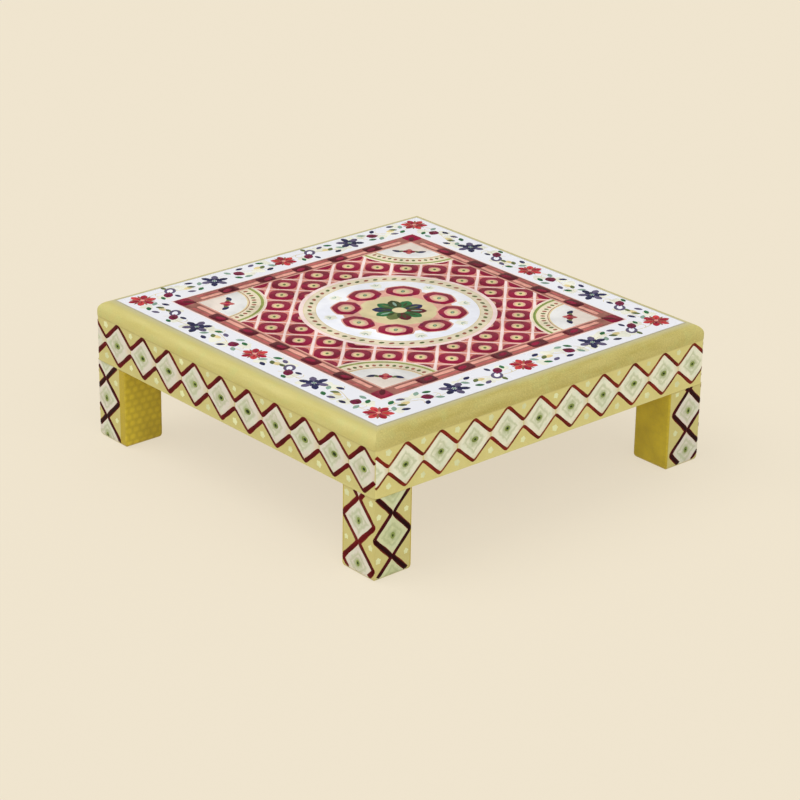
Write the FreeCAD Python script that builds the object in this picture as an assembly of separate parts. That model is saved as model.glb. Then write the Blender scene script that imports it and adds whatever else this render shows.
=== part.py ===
"""A bajot: a square low table of wood, clad in embossed gold-coloured foil with an enamelled top sheet.

The wooden core is a top board with rounded-over edges on four mitred apron rails. Four square
legs stand in the corners, and each has a shouldered head that fills the corner of the apron and
reaches the board. Thin foils cover the board's edge, the apron and the legs, and the top sheet
lies on the board inside the edge foils.

Millimetres. The origin is on the floor under the middle of the table, +Z is up, and the front
is the side that faces -Y.
"""
import FreeCAD, Part
import math
import os

# The table as a whole
table_side = 305.0               # across the foil, from one face of the skirt to the opposite one
table_height = 104.5             # from the floor to the enamelled face

# Wooden top board
board_thickness = 12.0
edge_round = 10.0                # quarter round along its upper edges
corner_round = 3.5               # upright corners of the board and of the apron

# Apron rails
apron_height = 31.8
apron_thickness = 12.0

# Legs
leg_side = 31.5                  # bare square block below the shoulder
leg_setback = 0.5                # leg face behind the face of the skirt
leg_arris_round = 0.8
foot_round = 3.5                 # rounding round the lower end

# Foils and top sheet
foil_thickness = 0.5
sheet_thickness = 1.0
joint_cover = 1.5                # skirt foil above the joint between the apron and the board
foil_floor_gap = 0.3             # leg foils end this far above the floor
pattern_margin = 1.0             # plain foil lapped round a leg's inner arris
wrapped_margin = 6.5             # the same on the front face of the front left leg

# Countersunk screws from the board into the leg heads
screw_length = 40.0
screw_shank_diameter = 4.0
screw_head_diameter = 8.0
screw_slot_width = 1.0
screw_slot_depth = 1.0
screw_place_share = 0.36         # of the leg head, from its inner face

# Nails from the apron into the leg heads
nail_shank_diameter = 1.8
nail_head_diameter = 4.0
nail_head_thickness = 0.8
nail_reach_share = 0.8           # of the leg head, past the apron
nail_place_share = 0.76          # of the leg head, from its inner face
front_nail_height_shares = (0.30, 0.75)
side_nail_height_shares = (0.15, 0.60)

# Domed pins that hold the foil's hem under the apron
pin_length = 9.0
pin_shank_diameter = 1.2
pin_head_diameter = 3.0
pin_dome_height = 0.8
pin_place_shares = (-0.25, 0.0, 0.25)

drill_clearance = 0.1            # round every shank and nail head
overrun = 5.0                    # cutting shapes run past the pieces by this

# Heights that follow from the sizes
board_top = table_height - sheet_thickness
board_bottom = board_top - board_thickness
apron_bottom = board_bottom - apron_height
shoulder = apron_bottom - foil_thickness

# Distances from the table's middle that follow from the sizes
skirt_face = table_side / 2
wood_face = skirt_face - foil_thickness
apron_inner_face = wood_face - apron_thickness
sheet_edge = wood_face - edge_round
leg_face = skirt_face - leg_setback
block_face = leg_face - foil_thickness
block_inner_face = block_face - leg_side
leg_middle = (block_face + block_inner_face) / 2
head_side = apron_inner_face - block_inner_face

SIDES = {"front": 0, "right": 90, "back": 180, "left": 270}
CORNERS = {"front_left": (-1, -1), "front_right": (1, -1), "back_right": (1, 1), "back_left": (-1, 1)}
UP = FreeCAD.Vector(0, 0, 1)
DOWN = FreeCAD.Vector(0, 0, -1)
MIDDLE = FreeCAD.Vector(0, 0, 0)


def box(low, high):
    """Box between two corners given as (x, y, z)."""
    size = [b - a for a, b in zip(low, high)]
    return Part.makeBox(*size, FreeCAD.Vector(*low))


def turned(shape, degrees):
    """The shape turned about the table's upright middle line."""
    copy = shape.copy()
    copy.rotate(MIDDLE, UP, degrees)
    return copy


def arc_edge(centre, radius, start, end, lift):
    """Arc in the plane made by lift, from one angle to another in degrees."""
    angles = [math.radians(a) for a in (start, (start + end) / 2, end)]
    return Part.Arc(*[lift(centre[0] + radius * math.cos(a), centre[1] + radius * math.sin(a))
                      for a in angles]).toShape()


def square_prism(half, low, high, corner):
    """Upright prism over a square whose corners are rounded."""
    prism = box((-half, -half, low), (half, half, high))
    upright = [e for e in prism.Edges if e.BoundBox.ZLength > e.BoundBox.XLength + e.BoundBox.YLength]
    return prism.makeFillet(corner, upright)


def ridge_prism(half, low, high, edge):
    """Prism along Y whose two upper edges are rounded over."""
    def lift(x, z):
        return FreeCAD.Vector(x, -half, z)
    shoulder_z = high - edge
    flat = half - edge
    edges = [
        Part.makeLine(lift(-half, low), lift(half, low)),
        Part.makeLine(lift(half, low), lift(half, shoulder_z)),
        arc_edge((flat, shoulder_z), edge, 0, 90, lift),
        Part.makeLine(lift(flat, high), lift(-flat, high)),
        arc_edge((-flat, shoulder_z), edge, 90, 180, lift),
        Part.makeLine(lift(-half, shoulder_z), lift(-half, low)),
    ]
    return Part.Face(Part.Wire(edges)).extrude(FreeCAD.Vector(0, 2 * half, 0))


def rounded_block(half, low, high, edge, corner):
    """Square block with rounded-over upper edges that mitre, and rounded upright corners."""
    ridge = ridge_prism(half, low, high, edge)
    return ridge.common(turned(ridge, 90)).common(square_prism(half, low, high, corner))


def side_wedge():
    """The front quarter of the table, between the two planes through its corners."""
    reach = skirt_face + overrun
    corners = [MIDDLE, FreeCAD.Vector(-reach, -reach, 0), FreeCAD.Vector(reach, -reach, 0), MIDDLE]
    return Part.Face(Part.makePolygon(corners)).extrude(UP * (table_height + overrun))


def split_by_side(ring):
    """Cut a ring round the table into its four mitred sides, by name."""
    wedge = side_wedge()
    return {name: ring.common(turned(wedge, angle)) for name, angle in SIDES.items()}


def top_board():
    """Board with a quarter round along its upper edges."""
    return rounded_block(wood_face, board_bottom, board_top, edge_round, corner_round)


def apron_ring():
    """The four rails as one frame."""
    outer = square_prism(wood_face, apron_bottom, board_bottom, corner_round)
    inner = box((-apron_inner_face, -apron_inner_face, apron_bottom - overrun),
                (apron_inner_face, apron_inner_face, board_bottom + overrun))
    return outer.cut(inner)


def edge_foil_ring():
    """Foil over the board's rounded edge, down to the skirt foil."""
    low = board_bottom + joint_cover
    outer = rounded_block(skirt_face, low, board_top + foil_thickness, edge_round + foil_thickness,
                          corner_round + foil_thickness)
    inside_sheet = box((-sheet_edge, -sheet_edge, low), (sheet_edge, sheet_edge, table_height))
    return outer.cut(top_board()).cut(inside_sheet)


def skirt_foil_ring():
    """Foil over the apron, with a hem folded flat under the rails."""
    high = board_bottom + joint_cover
    outer = square_prism(skirt_face, shoulder, high, corner_round + foil_thickness)
    wood = square_prism(wood_face, apron_bottom, high, corner_round)
    opening = box((-apron_inner_face, -apron_inner_face, shoulder), (apron_inner_face, apron_inner_face, high))
    return outer.cut(wood).cut(opening)


def upright_leg_block(half, height, edge, corner):
    """Leg-like block centred on the middle line, from its rounded lower end at zero upwards."""
    hanging = rounded_block(half, -height, 0, edge, corner)
    return hanging.mirror(MIDDLE, UP)


def leg_block(sign_x, sign_y):
    """Leg with its shouldered head in the corner of the apron."""
    block = upright_leg_block(leg_side / 2, shoulder, foot_round, leg_arris_round)
    block.translate(FreeCAD.Vector(sign_x * leg_middle, sign_y * leg_middle, 0))
    head = Part.makeBox(head_side, head_side, board_bottom - shoulder,
                        FreeCAD.Vector(block_inner_face, block_inner_face, shoulder))
    if sign_x < 0:
        head = head.mirror(MIDDLE, FreeCAD.Vector(1, 0, 0))
    if sign_y < 0:
        head = head.mirror(MIDDLE, FreeCAD.Vector(0, 1, 0))
    return block.fuse(head).removeSplitter()


def leg_shell(sign_x, sign_y):
    """Foil all round a leg below the shoulder, clear of the floor."""
    outer = upright_leg_block(leg_side / 2 + foil_thickness, shoulder + foil_thickness,
                              foot_round + foil_thickness, leg_arris_round + foil_thickness)
    outer.translate(FreeCAD.Vector(0, 0, -foil_thickness))
    inner = upright_leg_block(leg_side / 2, shoulder, foot_round, leg_arris_round)
    reach = leg_side
    kept = box((-reach, -reach, foil_floor_gap), (reach, reach, shoulder))
    shell = outer.cut(inner).common(kept)
    shell.translate(FreeCAD.Vector(sign_x * leg_middle, sign_y * leg_middle, 0))
    return shell


def leg_foils(sign_x, sign_y, front_margin, side_margin):
    """The patterned foil on the two outer faces of a leg and the plain foil on the rest."""
    depth = foot_round + foil_thickness
    outside = leg_face + overrun
    inner_arris = leg_face - leg_side - 2 * foil_thickness
    on_front = box((inner_arris + front_margin, leg_face - depth, 0), (outside, outside, shoulder))
    on_side = box((leg_face - depth, inner_arris + side_margin, 0), (outside, outside, shoulder))
    outer_faces = on_front.fuse(on_side)
    if sign_x < 0:
        outer_faces = outer_faces.mirror(MIDDLE, FreeCAD.Vector(1, 0, 0))
    if sign_y < 0:
        outer_faces = outer_faces.mirror(MIDDLE, FreeCAD.Vector(0, 1, 0))
    shell = leg_shell(sign_x, sign_y)
    return shell.common(outer_faces), shell.cut(outer_faces)


def screw(x, y, extra):
    """Countersunk screw, head flush with the board's upper face."""
    head_radius = screw_head_diameter / 2
    shank_radius = screw_shank_diameter / 2
    head_depth = head_radius - shank_radius
    tip = screw_shank_diameter
    start = FreeCAD.Vector(x, y, board_top)
    head = Part.makeCone(head_radius, shank_radius, head_depth, start, DOWN)
    shank = Part.makeCylinder(shank_radius + extra, screw_length - tip, start, DOWN)
    point = Part.makeCone(shank_radius + extra, 0, tip, start + DOWN * (screw_length - tip), DOWN)
    return head.fuse(shank.common(below(board_top - head_depth))).fuse(point)


def below(height):
    """Everything under a height."""
    reach = skirt_face + overrun
    return box((-reach, -reach, -overrun), (reach, reach, height))


def slotted(whole_screw, x, y):
    """Cut the driver's slot across a screw's head."""
    reach = screw_head_diameter
    slot = box((x - reach, y - screw_slot_width / 2, board_top - screw_slot_depth),
               (x + reach, y + screw_slot_width / 2, board_top + overrun))
    return whole_screw.cut(slot)


def screw_places():
    """One screw in each leg head."""
    offset = block_inner_face + head_side * screw_place_share
    return [(sign_x * offset, sign_y * offset) for sign_x, sign_y in CORNERS.values()]


def nail(along, height, extra):
    """Nail in the front apron, head flush with the wood."""
    start = FreeCAD.Vector(along, -wood_face, height)
    inwards = FreeCAD.Vector(0, 1, 0)
    length = apron_thickness + head_side * nail_reach_share
    head = Part.makeCylinder(nail_head_diameter / 2 + extra, nail_head_thickness, start, inwards)
    shank = Part.makeCylinder(nail_shank_diameter / 2 + extra, length, start, inwards)
    return head.fuse(shank)


def all_nails(extra):
    """Two nails at each end of each apron rail, at staggered heights on neighbouring rails."""
    offset = block_inner_face + head_side * nail_place_share
    placed = []
    for name, angle in SIDES.items():
        shares = front_nail_height_shares if name in ("front", "back") else side_nail_height_shares
        for share in shares:
            for along in (-offset, offset):
                placed.append(turned(nail(along, apron_bottom + apron_height * share, extra), angle))
    return placed


def pin(along, extra):
    """Domed pin up through the hem into the front apron."""
    start = FreeCAD.Vector(along, -(wood_face + apron_inner_face) / 2, shoulder)
    shank = Part.makeCylinder(pin_shank_diameter / 2 + extra, pin_length, start, UP)
    head_radius = pin_head_diameter / 2
    sphere_radius = (head_radius ** 2 + pin_dome_height ** 2) / (2 * pin_dome_height)
    sphere = Part.makeSphere(sphere_radius, start + UP * (sphere_radius - pin_dome_height))
    return sphere.common(below(shoulder)).fuse(shank)


def all_pins(extra):
    """Pins spaced along the hem of each side."""
    row = [pin(table_side * share, extra) for share in pin_place_shares]
    return [turned(one, angle) for angle in SIDES.values() for one in row]


def build_parts():
    """Every piece of the table, by node name."""
    screw_holes = Part.Compound([screw(x, y, drill_clearance) for x, y in screw_places()])
    nail_holes = Part.Compound(all_nails(drill_clearance))
    pin_holes = Part.Compound(all_pins(drill_clearance))
    parts = {"top_board": top_board().cut(screw_holes)}
    for name, rail in split_by_side(apron_ring()).items():
        parts["apron_" + name] = rail.cut(nail_holes).cut(pin_holes)
    for name, (sign_x, sign_y) in CORNERS.items():
        parts["leg_" + name] = leg_block(sign_x, sign_y).cut(screw_holes).cut(nail_holes)
        front_margin = wrapped_margin if name == "front_left" else pattern_margin
        patterned, plain = leg_foils(sign_x, sign_y, front_margin, pattern_margin)
        parts["leg_pattern_foil_" + name] = patterned
        parts["leg_plain_foil_" + name] = plain
    parts["enamel_top_sheet"] = box((-sheet_edge, -sheet_edge, board_top), (sheet_edge, sheet_edge, table_height))
    for name, foil in split_by_side(edge_foil_ring()).items():
        parts["edge_foil_" + name] = foil
    for name, foil in split_by_side(skirt_foil_ring()).items():
        parts["skirt_foil_" + name] = foil.cut(pin_holes)
    parts["board_screws"] = Part.Compound([slotted(screw(x, y, 0), x, y) for x, y in screw_places()])
    parts["apron_nails"] = Part.Compound(all_nails(0))
    parts["foil_pins"] = Part.Compound(all_pins(0))
    return parts


def main():
    """Write one STEP file for each piece."""
    os.makedirs("parts", exist_ok=True)
    for name, shape in build_parts().items():
        solids = Part.Compound(shape.Solids)
        solids.exportStep("parts/" + name + ".step")
        print(name, len(shape.Solids), "solids, volume", round(shape.Volume, 1))


main()
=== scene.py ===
import math

import bpy
import numpy as np
from bpy.props import FloatProperty, FloatVectorProperty, PointerProperty
from bpy.types import NodeSocket, Operator, Panel, PropertyGroup
from mathutils import Matrix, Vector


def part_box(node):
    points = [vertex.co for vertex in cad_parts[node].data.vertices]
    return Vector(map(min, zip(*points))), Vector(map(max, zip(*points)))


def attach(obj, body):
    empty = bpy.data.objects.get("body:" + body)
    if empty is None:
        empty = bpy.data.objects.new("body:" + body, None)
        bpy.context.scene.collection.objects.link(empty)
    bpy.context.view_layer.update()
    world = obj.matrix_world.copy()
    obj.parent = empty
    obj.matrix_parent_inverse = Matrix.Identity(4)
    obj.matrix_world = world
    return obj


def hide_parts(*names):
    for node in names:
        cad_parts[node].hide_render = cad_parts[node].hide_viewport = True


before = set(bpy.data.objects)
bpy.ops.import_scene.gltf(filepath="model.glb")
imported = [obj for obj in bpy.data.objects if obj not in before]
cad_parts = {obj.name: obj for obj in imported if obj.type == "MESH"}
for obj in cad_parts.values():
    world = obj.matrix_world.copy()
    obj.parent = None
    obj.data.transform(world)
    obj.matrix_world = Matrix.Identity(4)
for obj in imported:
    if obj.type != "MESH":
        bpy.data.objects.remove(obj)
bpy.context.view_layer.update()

bl_info = {
    "name": "Bajot Low Table",
    "version": (1, 0, 0),
    "blender": (4, 5, 0),
    "location": "View3D > Sidebar > Bajot",
    "description": "Dresses a wooden low table in embossed gold-coloured foil and painted enamel",
    "category": "Object",
}

MM = 0.001
SIDES = {"front": 0, "right": 1, "back": 2, "left": 3}
# Each leg's outer arris stands where the side of its number begins, going round anticlockwise.
LEGS = {"front_left": 0, "front_right": 1, "back_right": 2, "back_left": 3}


def linear(hex_colour):
    """sRGB hex to linear: c / 12.92 near black, otherwise ((c + 0.055) / 1.055) to the power 2.4."""
    channels = np.array([int(hex_colour[i:i + 2], 16) for i in (1, 3, 5)]) / 255
    light = np.where(channels <= 0.04045, channels / 12.92, ((channels + 0.055) / 1.055) ** 2.4)
    return tuple(float(c) for c in light)


def length(label, millimetres, text):
    """A size that the sidebar shows as a length."""
    return FloatProperty(name=label, default=millimetres * MM, unit="LENGTH", precision=5, description=text)


def colour(label, hex_colour, text):
    """A colour that the sidebar shows as a swatch."""
    return FloatVectorProperty(name=label, default=linear(hex_colour), subtype="COLOR", size=3,
                               min=0.0, max=1.0, description=text)


# Places that the CAD pieces give, in metres

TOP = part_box("enamel_top_sheet")[1][2]
SHEET_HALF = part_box("enamel_top_sheet")[1][0]
SHEET_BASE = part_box("enamel_top_sheet")[0][2]
SKIRT_FACE = -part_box("skirt_foil_front")[0][1]
SKIRT_INNER = -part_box("skirt_foil_front")[1][1]
SKIRT_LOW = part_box("skirt_foil_front")[0][2]
SKIRT_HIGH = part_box("skirt_foil_front")[1][2]
EDGE_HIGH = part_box("edge_foil_front")[1][2]
WOOD_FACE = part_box("top_board")[1][0]
FOIL = SKIRT_FACE - WOOD_FACE
LEG_FOIL_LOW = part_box("leg_plain_foil_front_right")[0][2]
LEG_HALF = (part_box("leg_plain_foil_back_left")[1][0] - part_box("leg_plain_foil_back_left")[0][0]) / 2
LEG_MIDDLE = (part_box("leg_plain_foil_back_right")[1][0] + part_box("leg_plain_foil_back_right")[0][0]) / 2


class TableSizes(PropertyGroup):
    """Sizes of the foils' relief and of the painted pattern."""
    corner_round: length("Corner round", 4.0, "Radius of the skirt's upright corners, over the foil")
    leg_arris_round: length("Leg arris", 1.3, "Radius of a leg's upright arrises, over the foil")
    foot_round: length("Foot round", 4.0, "Radius round a leg's lower end, over the foil")
    relief: length("Relief depth", 0.30, "Depth from the highest paint to the foil or enamel ground")
    coat: length("Coat", 0.05, "Thickness of one layer of paint on the top")
    repeat: length("Strip repeat", 29.65, "Distance from one diamond to the next along the skirt's strip")
    strip_middle: length("Strip middle", 77.0, "Height of the middle of the skirt's strip")
    diamond_half: length("Diamond half", 14.6, "From a diamond's middle to its line's peak")
    neck_half: length("Neck half", 2.7, "From the middle to the line where two of the skirt's diamonds meet")
    line_width: length("Line width", 3.7, "Width of the skirt's zigzag lines where they are laid thick")
    leg_neck_half: length("Leg neck half", 1.3, "The same where two of a leg's diamonds meet")
    leg_line_width: length("Leg line width", 4.55, "The same for the zigzag lines on the legs")
    thin_share: FloatProperty(name="Thin share", default=0.66, min=0.0, max=1.0, subtype="FACTOR",
                              description="Width of a skirt's line laid thin, as a share of the thick")
    leg_thin_share: FloatProperty(name="Leg thin share", default=0.8, min=0.0, max=1.0, subtype="FACTOR",
                                  description="The same for the zigzag lines on the legs")
    bead_pitch: length("Bead pitch", 2.8, "Pitch of the faint beads pressed in the edge foil")
    scale_pitch: length("Scale pitch", 6.4, "Pitch of the scales pressed in the plain foil")
    lattice_pitch: length("Lattice pitch", 21.2, "Pitch of the lattice on the top")
    frame_half: length("Frame half", 112.8, "Half of the painted frame's outer side")
    frame_inner: length("Frame inner half", 99.4, "Half of the painted frame's inner side")
    block_pitch: length("Block pitch", 33.8, "Distance between the frame's dark blocks")
    border_line: length("Border middle line", 128.0, "From the middle of the pattern to the row of flowers")
    medallion: length("Medallion radius", 70.0, "Outer radius of the medallion")
    fan: length("Fan radius", 48.0, "Radius of the fans in the corners of the frame")
    pattern_right: length("Pattern right", -1.6, "How far right of the sheet's middle the pattern is laid")
    pattern_back: length("Pattern back", 0.5, "How far behind the sheet's middle the pattern is laid")


class EnamelColours(PropertyGroup):
    """Colours of the foils and paints."""
    white: colour("White enamel", "#E9EBF3", "Ground of the top sheet")
    # Painted light and shade: one edge foil, as a lit copy at the front and left and a shaded copy at the
    # right and back.
    edge_foil: colour("Edge foil", "#CFC57E", "Foil over the rounded edge, at the front and left")
    edge_foil_deep: colour("Deeper edge foil", "#C6BA70", "The same at the right and back")
    strip_foil: colour("Strip foil", "#D0C884", "Ground of the patterned strip")
    # Painted light: the legs' inner faces stand in shade under the table, so this foil is given a lighter
    # colour.
    plain_foil: colour("Plain foil", "#E4D03A", "Foil on the inner faces of the legs")
    maroon: colour("Maroon", "#8A0836", "Lattice cells, frame, hexagons and petals")
    brick: colour("Brick", "#9A6258", "Ground of the frame")
    line_red: colour("Line red", "#660410", "Zigzag lines at the front and left")
    line_rust: colour("Line rust", "#82261A", "Zigzag lines at the right and back")
    leg_line: colour("Leg line", "#2C0008", "Zigzag lines on the legs")
    thin_red: colour("Thin red", "#6E2420", "The red lines where they are laid thin")
    thin_rust: colour("Thin rust", "#8E4828", "The rust lines where they are laid thin")
    thin_leg: colour("Thin leg line", "#4E0A16", "The legs' lines where they are laid thin")
    crimson: colour("Crimson", "#B45C5A", "Outer bars of the frame, and petals in the fans")
    line_rim: colour("Line rim", "#9C3E26", "Thin rims of the zigzag lines")
    salmon: colour("Salmon", "#E2A090", "Inner bars of the frame, and eyes of the red flowers")
    block: colour("Dark block", "#54081F", "Blocks between the frame's bars, and dark spots of flowers")
    pink: colour("Pale pink", "#EFD6D0", "Lattice lines, outer line of the frame, and rings")
    rose: colour("Rose", "#D8A090", "Rims of the middles and hexagons, and the rings' lines")
    field: colour("Field", "#CF8476", "Ground of the lattice")
    gold: colour("Gold", "#D8C690", "Middles of the cells, stems, and rings' lines")
    disc: colour("Disc", "#CFC196", "Medallion's disc, hexagons' middles and flower's eye")
    cream: colour("Cream", "#DED2B6", "Dotted rings")
    wash: colour("Wash", "#E2E1D0", "Faint wash under the border and between the hexagons")
    fan_white: colour("Fan white", "#DCDBD8", "Ground of the corner fans")
    fan_cream: colour("Fan cream", "#DED2C6", "Ground of the corner fans, towards the frame's corner")
    red: colour("Red", "#A81430", "Flowers at the corners and the middles")
    coral: colour("Coral", "#C83C40", "Bright petals of the red flowers")
    navy: colour("Navy", "#1C1F4C", "Flowers and leaves of the border")
    dusk: colour("Dusk", "#5A5272", "Second colour of the navy flowers, and curled rings")
    magenta: colour("Magenta", "#72083C", "Buds of the border, and dark spots of the hexagons")
    green: colour("Green", "#24683C", "Leaves and the medallion's flower")
    sage: colour("Sage", "#83A090", "Pale leaves")
    olive: colour("Olive", "#5E6B3C", "Dots of the rings, seeds, and dull leaves")
    russet: colour("Russet", "#9A5A48", "Dots of the rings, and tips of the red flowers")
    dark_green: colour("Dark green", "#2E3E1E", "Cores of the diamonds, and gaps of the flower")
    leaf_green: colour("Leaf green", "#8A9A54", "Soft rims of the diamonds' cores")
    pale_green: colour("Pale green", "#A3B07B", "Glow round the cores of the diamonds")
    arc_green: colour("Arc green", "#8E984E", "Arcs of the corner fans")
    diamond: colour("Diamond white", "#E2DCD0", "Ground of the diamonds")
    # Painted light: a lighter, slightly greener copy of the diamonds' ground for the right and back,
    # standing in for light there.
    soft_diamond: colour("Soft diamond", "#F0F0D9", "Ground of the diamonds at the right and back")
    green_diamond: colour("Greenish diamond", "#D4DAAE", "The same on the near leg's right face")
    star: colour("Star", "#DCE0B0", "Small stars between the diamonds")
    fold: colour("Fold", "#8F7D3E", "Shaded folds where two foils meet")
    # Painted shade: a grey line on the edge foil where it meets the enamel.
    boundary_shade: colour("Rim grey", "#BDB998", "Edge foil where it runs out against the enamel")
    wood: colour("Wood", "#C7A374", "Bare wood under the table")
    steel: colour("Steel", "#9A9A9C", "Screws and nails")
    brass: colour("Brass", "#C8A45A", "Pins under the apron")
    backdrop: colour("Backdrop", "#EFE4CE", "Floor and background")


class StudioSettings(PropertyGroup):
    """Camera, lamps and floor."""
    azimuth: FloatProperty(name="Azimuth", default=math.radians(48.51), subtype="ANGLE",
                           description="Camera's turn about the table, from the front")
    elevation: FloatProperty(name="Elevation", default=math.radians(23.245), subtype="ANGLE",
                             description="Camera's height angle")
    roll: FloatProperty(name="Roll", default=math.radians(-0.955), subtype="ANGLE",
                        description="Camera's turn about its own line of sight")
    distance: FloatProperty(name="Distance", default=1.9103, unit="LENGTH",
                            description="Camera's distance from the table's foot, along its line of sight")
    shift_right: length("Offset right", 2.38, "Camera's place to the right of the table's middle line")
    shift_up: length("Offset up", 33.42, "Camera's place above the line to the table's foot")
    lens: FloatProperty(name="Lens", default=119.74,
                        description="Focal length in millimetres, on a sensor 36 mm wide")
    key_strength: FloatProperty(name="Key", default=1.30, description="Strength of the soft key lamp")
    fill_strength: FloatProperty(name="Fill", default=0.82, description="Strength of the soft fill lamp")
    sky_strength: FloatProperty(name="Sky", default=0.52, description="Strength of the even light around")
    floor_glow: FloatProperty(name="Floor glow", default=0.78, subtype="FACTOR",
                              description="Share of the floor's colour that the camera sees unshaded")
    floor_half: FloatProperty(name="Floor half side", default=6.0, unit="LENGTH",
                              description="Half of the floor's side")


def sizes():
    """The table's sizes as they are set on the scene."""
    return bpy.context.scene.table_sizes


def colours():
    """The table's colours as they are set on the scene."""
    return bpy.context.scene.enamel_colours


# Surfaces: each is (points, faces, pattern), where faces is a list of arrays of corner numbers
# and pattern gives each point's own coordinates within its shape, in metres


def grid_faces(rows, columns, wrap_rows=False, wrap_columns=False):
    """Quads of a grid of points stored row by row; wrap joins the last row or column to the first."""
    row = np.arange(rows if wrap_rows else rows - 1)[:, None]
    column = np.arange(columns if wrap_columns else columns - 1)[None, :]
    next_row = (row + 1) % rows
    next_column = (column + 1) % columns
    corners = (row * columns + column, row * columns + next_column,
               next_row * columns + next_column, next_row * columns + column)
    return np.stack([np.broadcast_to(c, (row.size, column.size)) for c in corners], -1).reshape(-1, 4)


def tube(points, pattern):
    """Closed tube: rows of points along it, each row a closed section, with a flat cap at each end."""
    rows, columns = points.shape[:2]
    caps = np.array([np.arange(columns)[::-1], (rows - 1) * columns + np.arange(columns)])
    faces = [grid_faces(rows, columns, wrap_columns=True), caps]
    return points.reshape(-1, 3), faces, pattern.reshape(rows * columns, -1)


def stroke(path, width, top, bottom, closed=False):
    """Brush stroke: a low arch of five points carried along a path in the pattern's plane.

    The arch stands on the path's normal, which is the path's direction turned a quarter left,
    at plus and minus half the width, and its crown is at the top height.
    """
    path = np.asarray(path, float)
    width = np.broadcast_to(np.asarray(width, float), (len(path),))
    ahead = np.roll(path, -1, 0) - np.roll(path, 1, 0)
    if not closed:
        ahead[0] = path[1] - path[0]
        ahead[-1] = path[-1] - path[-2]
    ahead /= np.linalg.norm(ahead, axis=1)[:, None]
    left = np.stack([-ahead[:, 1], ahead[:, 0]], -1)
    share = np.array([1.0, 0.72, 0.0, -0.72, -1.0]) / 2
    height = bottom + (top - bottom) * np.array([0.0, 0.8, 1.0, 0.8, 0.0])
    flat = path[:, None, :] + left[:, None, :] * (width[:, None, None] * share[None, :, None])
    points = np.concatenate([flat, np.broadcast_to(height, flat.shape[:2])[:, :, None]], -1)
    run = np.concatenate([[0.0], np.cumsum(np.linalg.norm(np.diff(path, axis=0), axis=1))])
    pattern = np.stack(np.broadcast_arrays(run[:, None], width[:, None] * share[None, :]), -1)
    if closed:
        faces = [grid_faces(len(path), 5, wrap_rows=True, wrap_columns=True)]
        return points.reshape(-1, 3), faces, pattern.reshape(-1, 2)
    return tube(points, pattern)


def pool(stations, low, high, top, bottom, crosswise=False):
    """Flat pool of paint that fills from a low to a high edge at each station, its rims rounded down.

    The stations run along the pattern's first axis, or along its second where crosswise; the
    crosswise pools have more points near both edges, to follow a leg's rounded foot.
    """
    half_share = np.array([1.0, 0.97, 0.93, 0.87, 0.78, 0.6, 0.3] if crosswise else [1.0, 0.95, 0.5])
    share = np.concatenate([half_share, -half_share[::-1]]) * (-1 if crosswise else 1)
    # The rim rises to the top over the outer thirtieth of the half width.
    height = bottom + (top - bottom) * np.minimum(1.0, (1 - np.abs(share)) * 30)
    across = ((high + low) / 2)[:, None] + ((high - low) / 2)[:, None] * share
    along = np.broadcast_to(stations[:, None], across.shape)
    flat = (across, along) if crosswise else (along, across)
    points = np.stack([*flat, np.broadcast_to(height, across.shape)], -1)
    return tube(points, points[..., :2])


def inset(outline, distance):
    """The outline drawn in along its normals: the chords between a point's neighbours, turned left."""
    ahead = np.roll(outline, -1, 0) - np.roll(outline, 1, 0)
    ahead /= np.linalg.norm(ahead, axis=1)[:, None]
    return outline + np.c_[-ahead[:, 1], ahead[:, 0]] * distance


def plate(outline, top, bottom):
    """Flat coat of paint: the outline straight up to a rounded rim, and a level face at the top."""
    rim = 0.15 * MM
    count = len(outline)
    shoulder = top - 0.3 * (top - bottom)
    loops = ((outline, bottom), (outline, shoulder), (inset(outline, rim), top))
    points = np.concatenate([np.c_[line, np.full(count, height)] for line, height in loops])
    faces = [grid_faces(3, count, wrap_columns=True),
             np.array([np.arange(count)[::-1], 2 * count + np.arange(count)])]
    return points, faces, points[:, :2] - outline.mean(0)


def dab(outline, top, bottom, rim=0.78):
    """Drop of paint: the outline at the bottom, the same drawn in by rim near the top, and a crown."""
    middle = outline.mean(0)
    inner = middle + (outline - middle) * rim
    count = len(outline)
    shoulder = bottom + 0.85 * (top - bottom)
    points = np.concatenate([
        np.c_[outline, np.full(count, bottom)],
        np.c_[inner, np.full(count, shoulder)],
        [[*middle, bottom], [*middle, top]],
    ])
    i = np.arange(count)
    j = (i + 1) % count
    faces = [
        np.stack([i, j, j + count, i + count], -1),
        np.stack([j, i, np.full(count, 2 * count)], -1),
        np.stack([i + count, j + count, np.full(count, 2 * count + 1)], -1),
    ]
    return points, faces, points[:, :2] - middle


def ring(outer, inner, top, bottom, chamfer):
    """Flat ring between two outlines of as many points, its upper rims drawn in by a share of its width."""
    sections = [(outer, bottom), (outer + (inner - outer) * chamfer, top),
                (inner + (outer - inner) * chamfer, top), (inner, bottom)]
    points = np.stack([np.c_[line, np.full(len(line), height)] for line, height in sections])
    faces = [grid_faces(4, len(outer), wrap_rows=True, wrap_columns=True)]
    flat = points.reshape(-1, 3)
    return flat, faces, flat[:, :2] - outer.mean(0)


def placed(shape, place):
    """The shape moved from the pattern's plane (along, up, height) to the table by a placing function."""
    points, faces, pattern = shape
    return place(points[:, 0], points[:, 1], points[:, 2]), faces, pattern


def joined(shapes):
    """One surface out of many, with its faces gathered by how many corners they have."""
    points, pattern, by_corners, start = [], [], {}, 0
    for shape_points, faces, shape_pattern in shapes:
        points.append(shape_points)
        pattern.append(shape_pattern)
        for group in faces:
            by_corners.setdefault(group.shape[1], []).append(group + start)
        start += len(shape_points)
    return np.concatenate(points), [np.concatenate(g) for g in by_corners.values()], np.concatenate(pattern)


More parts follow.
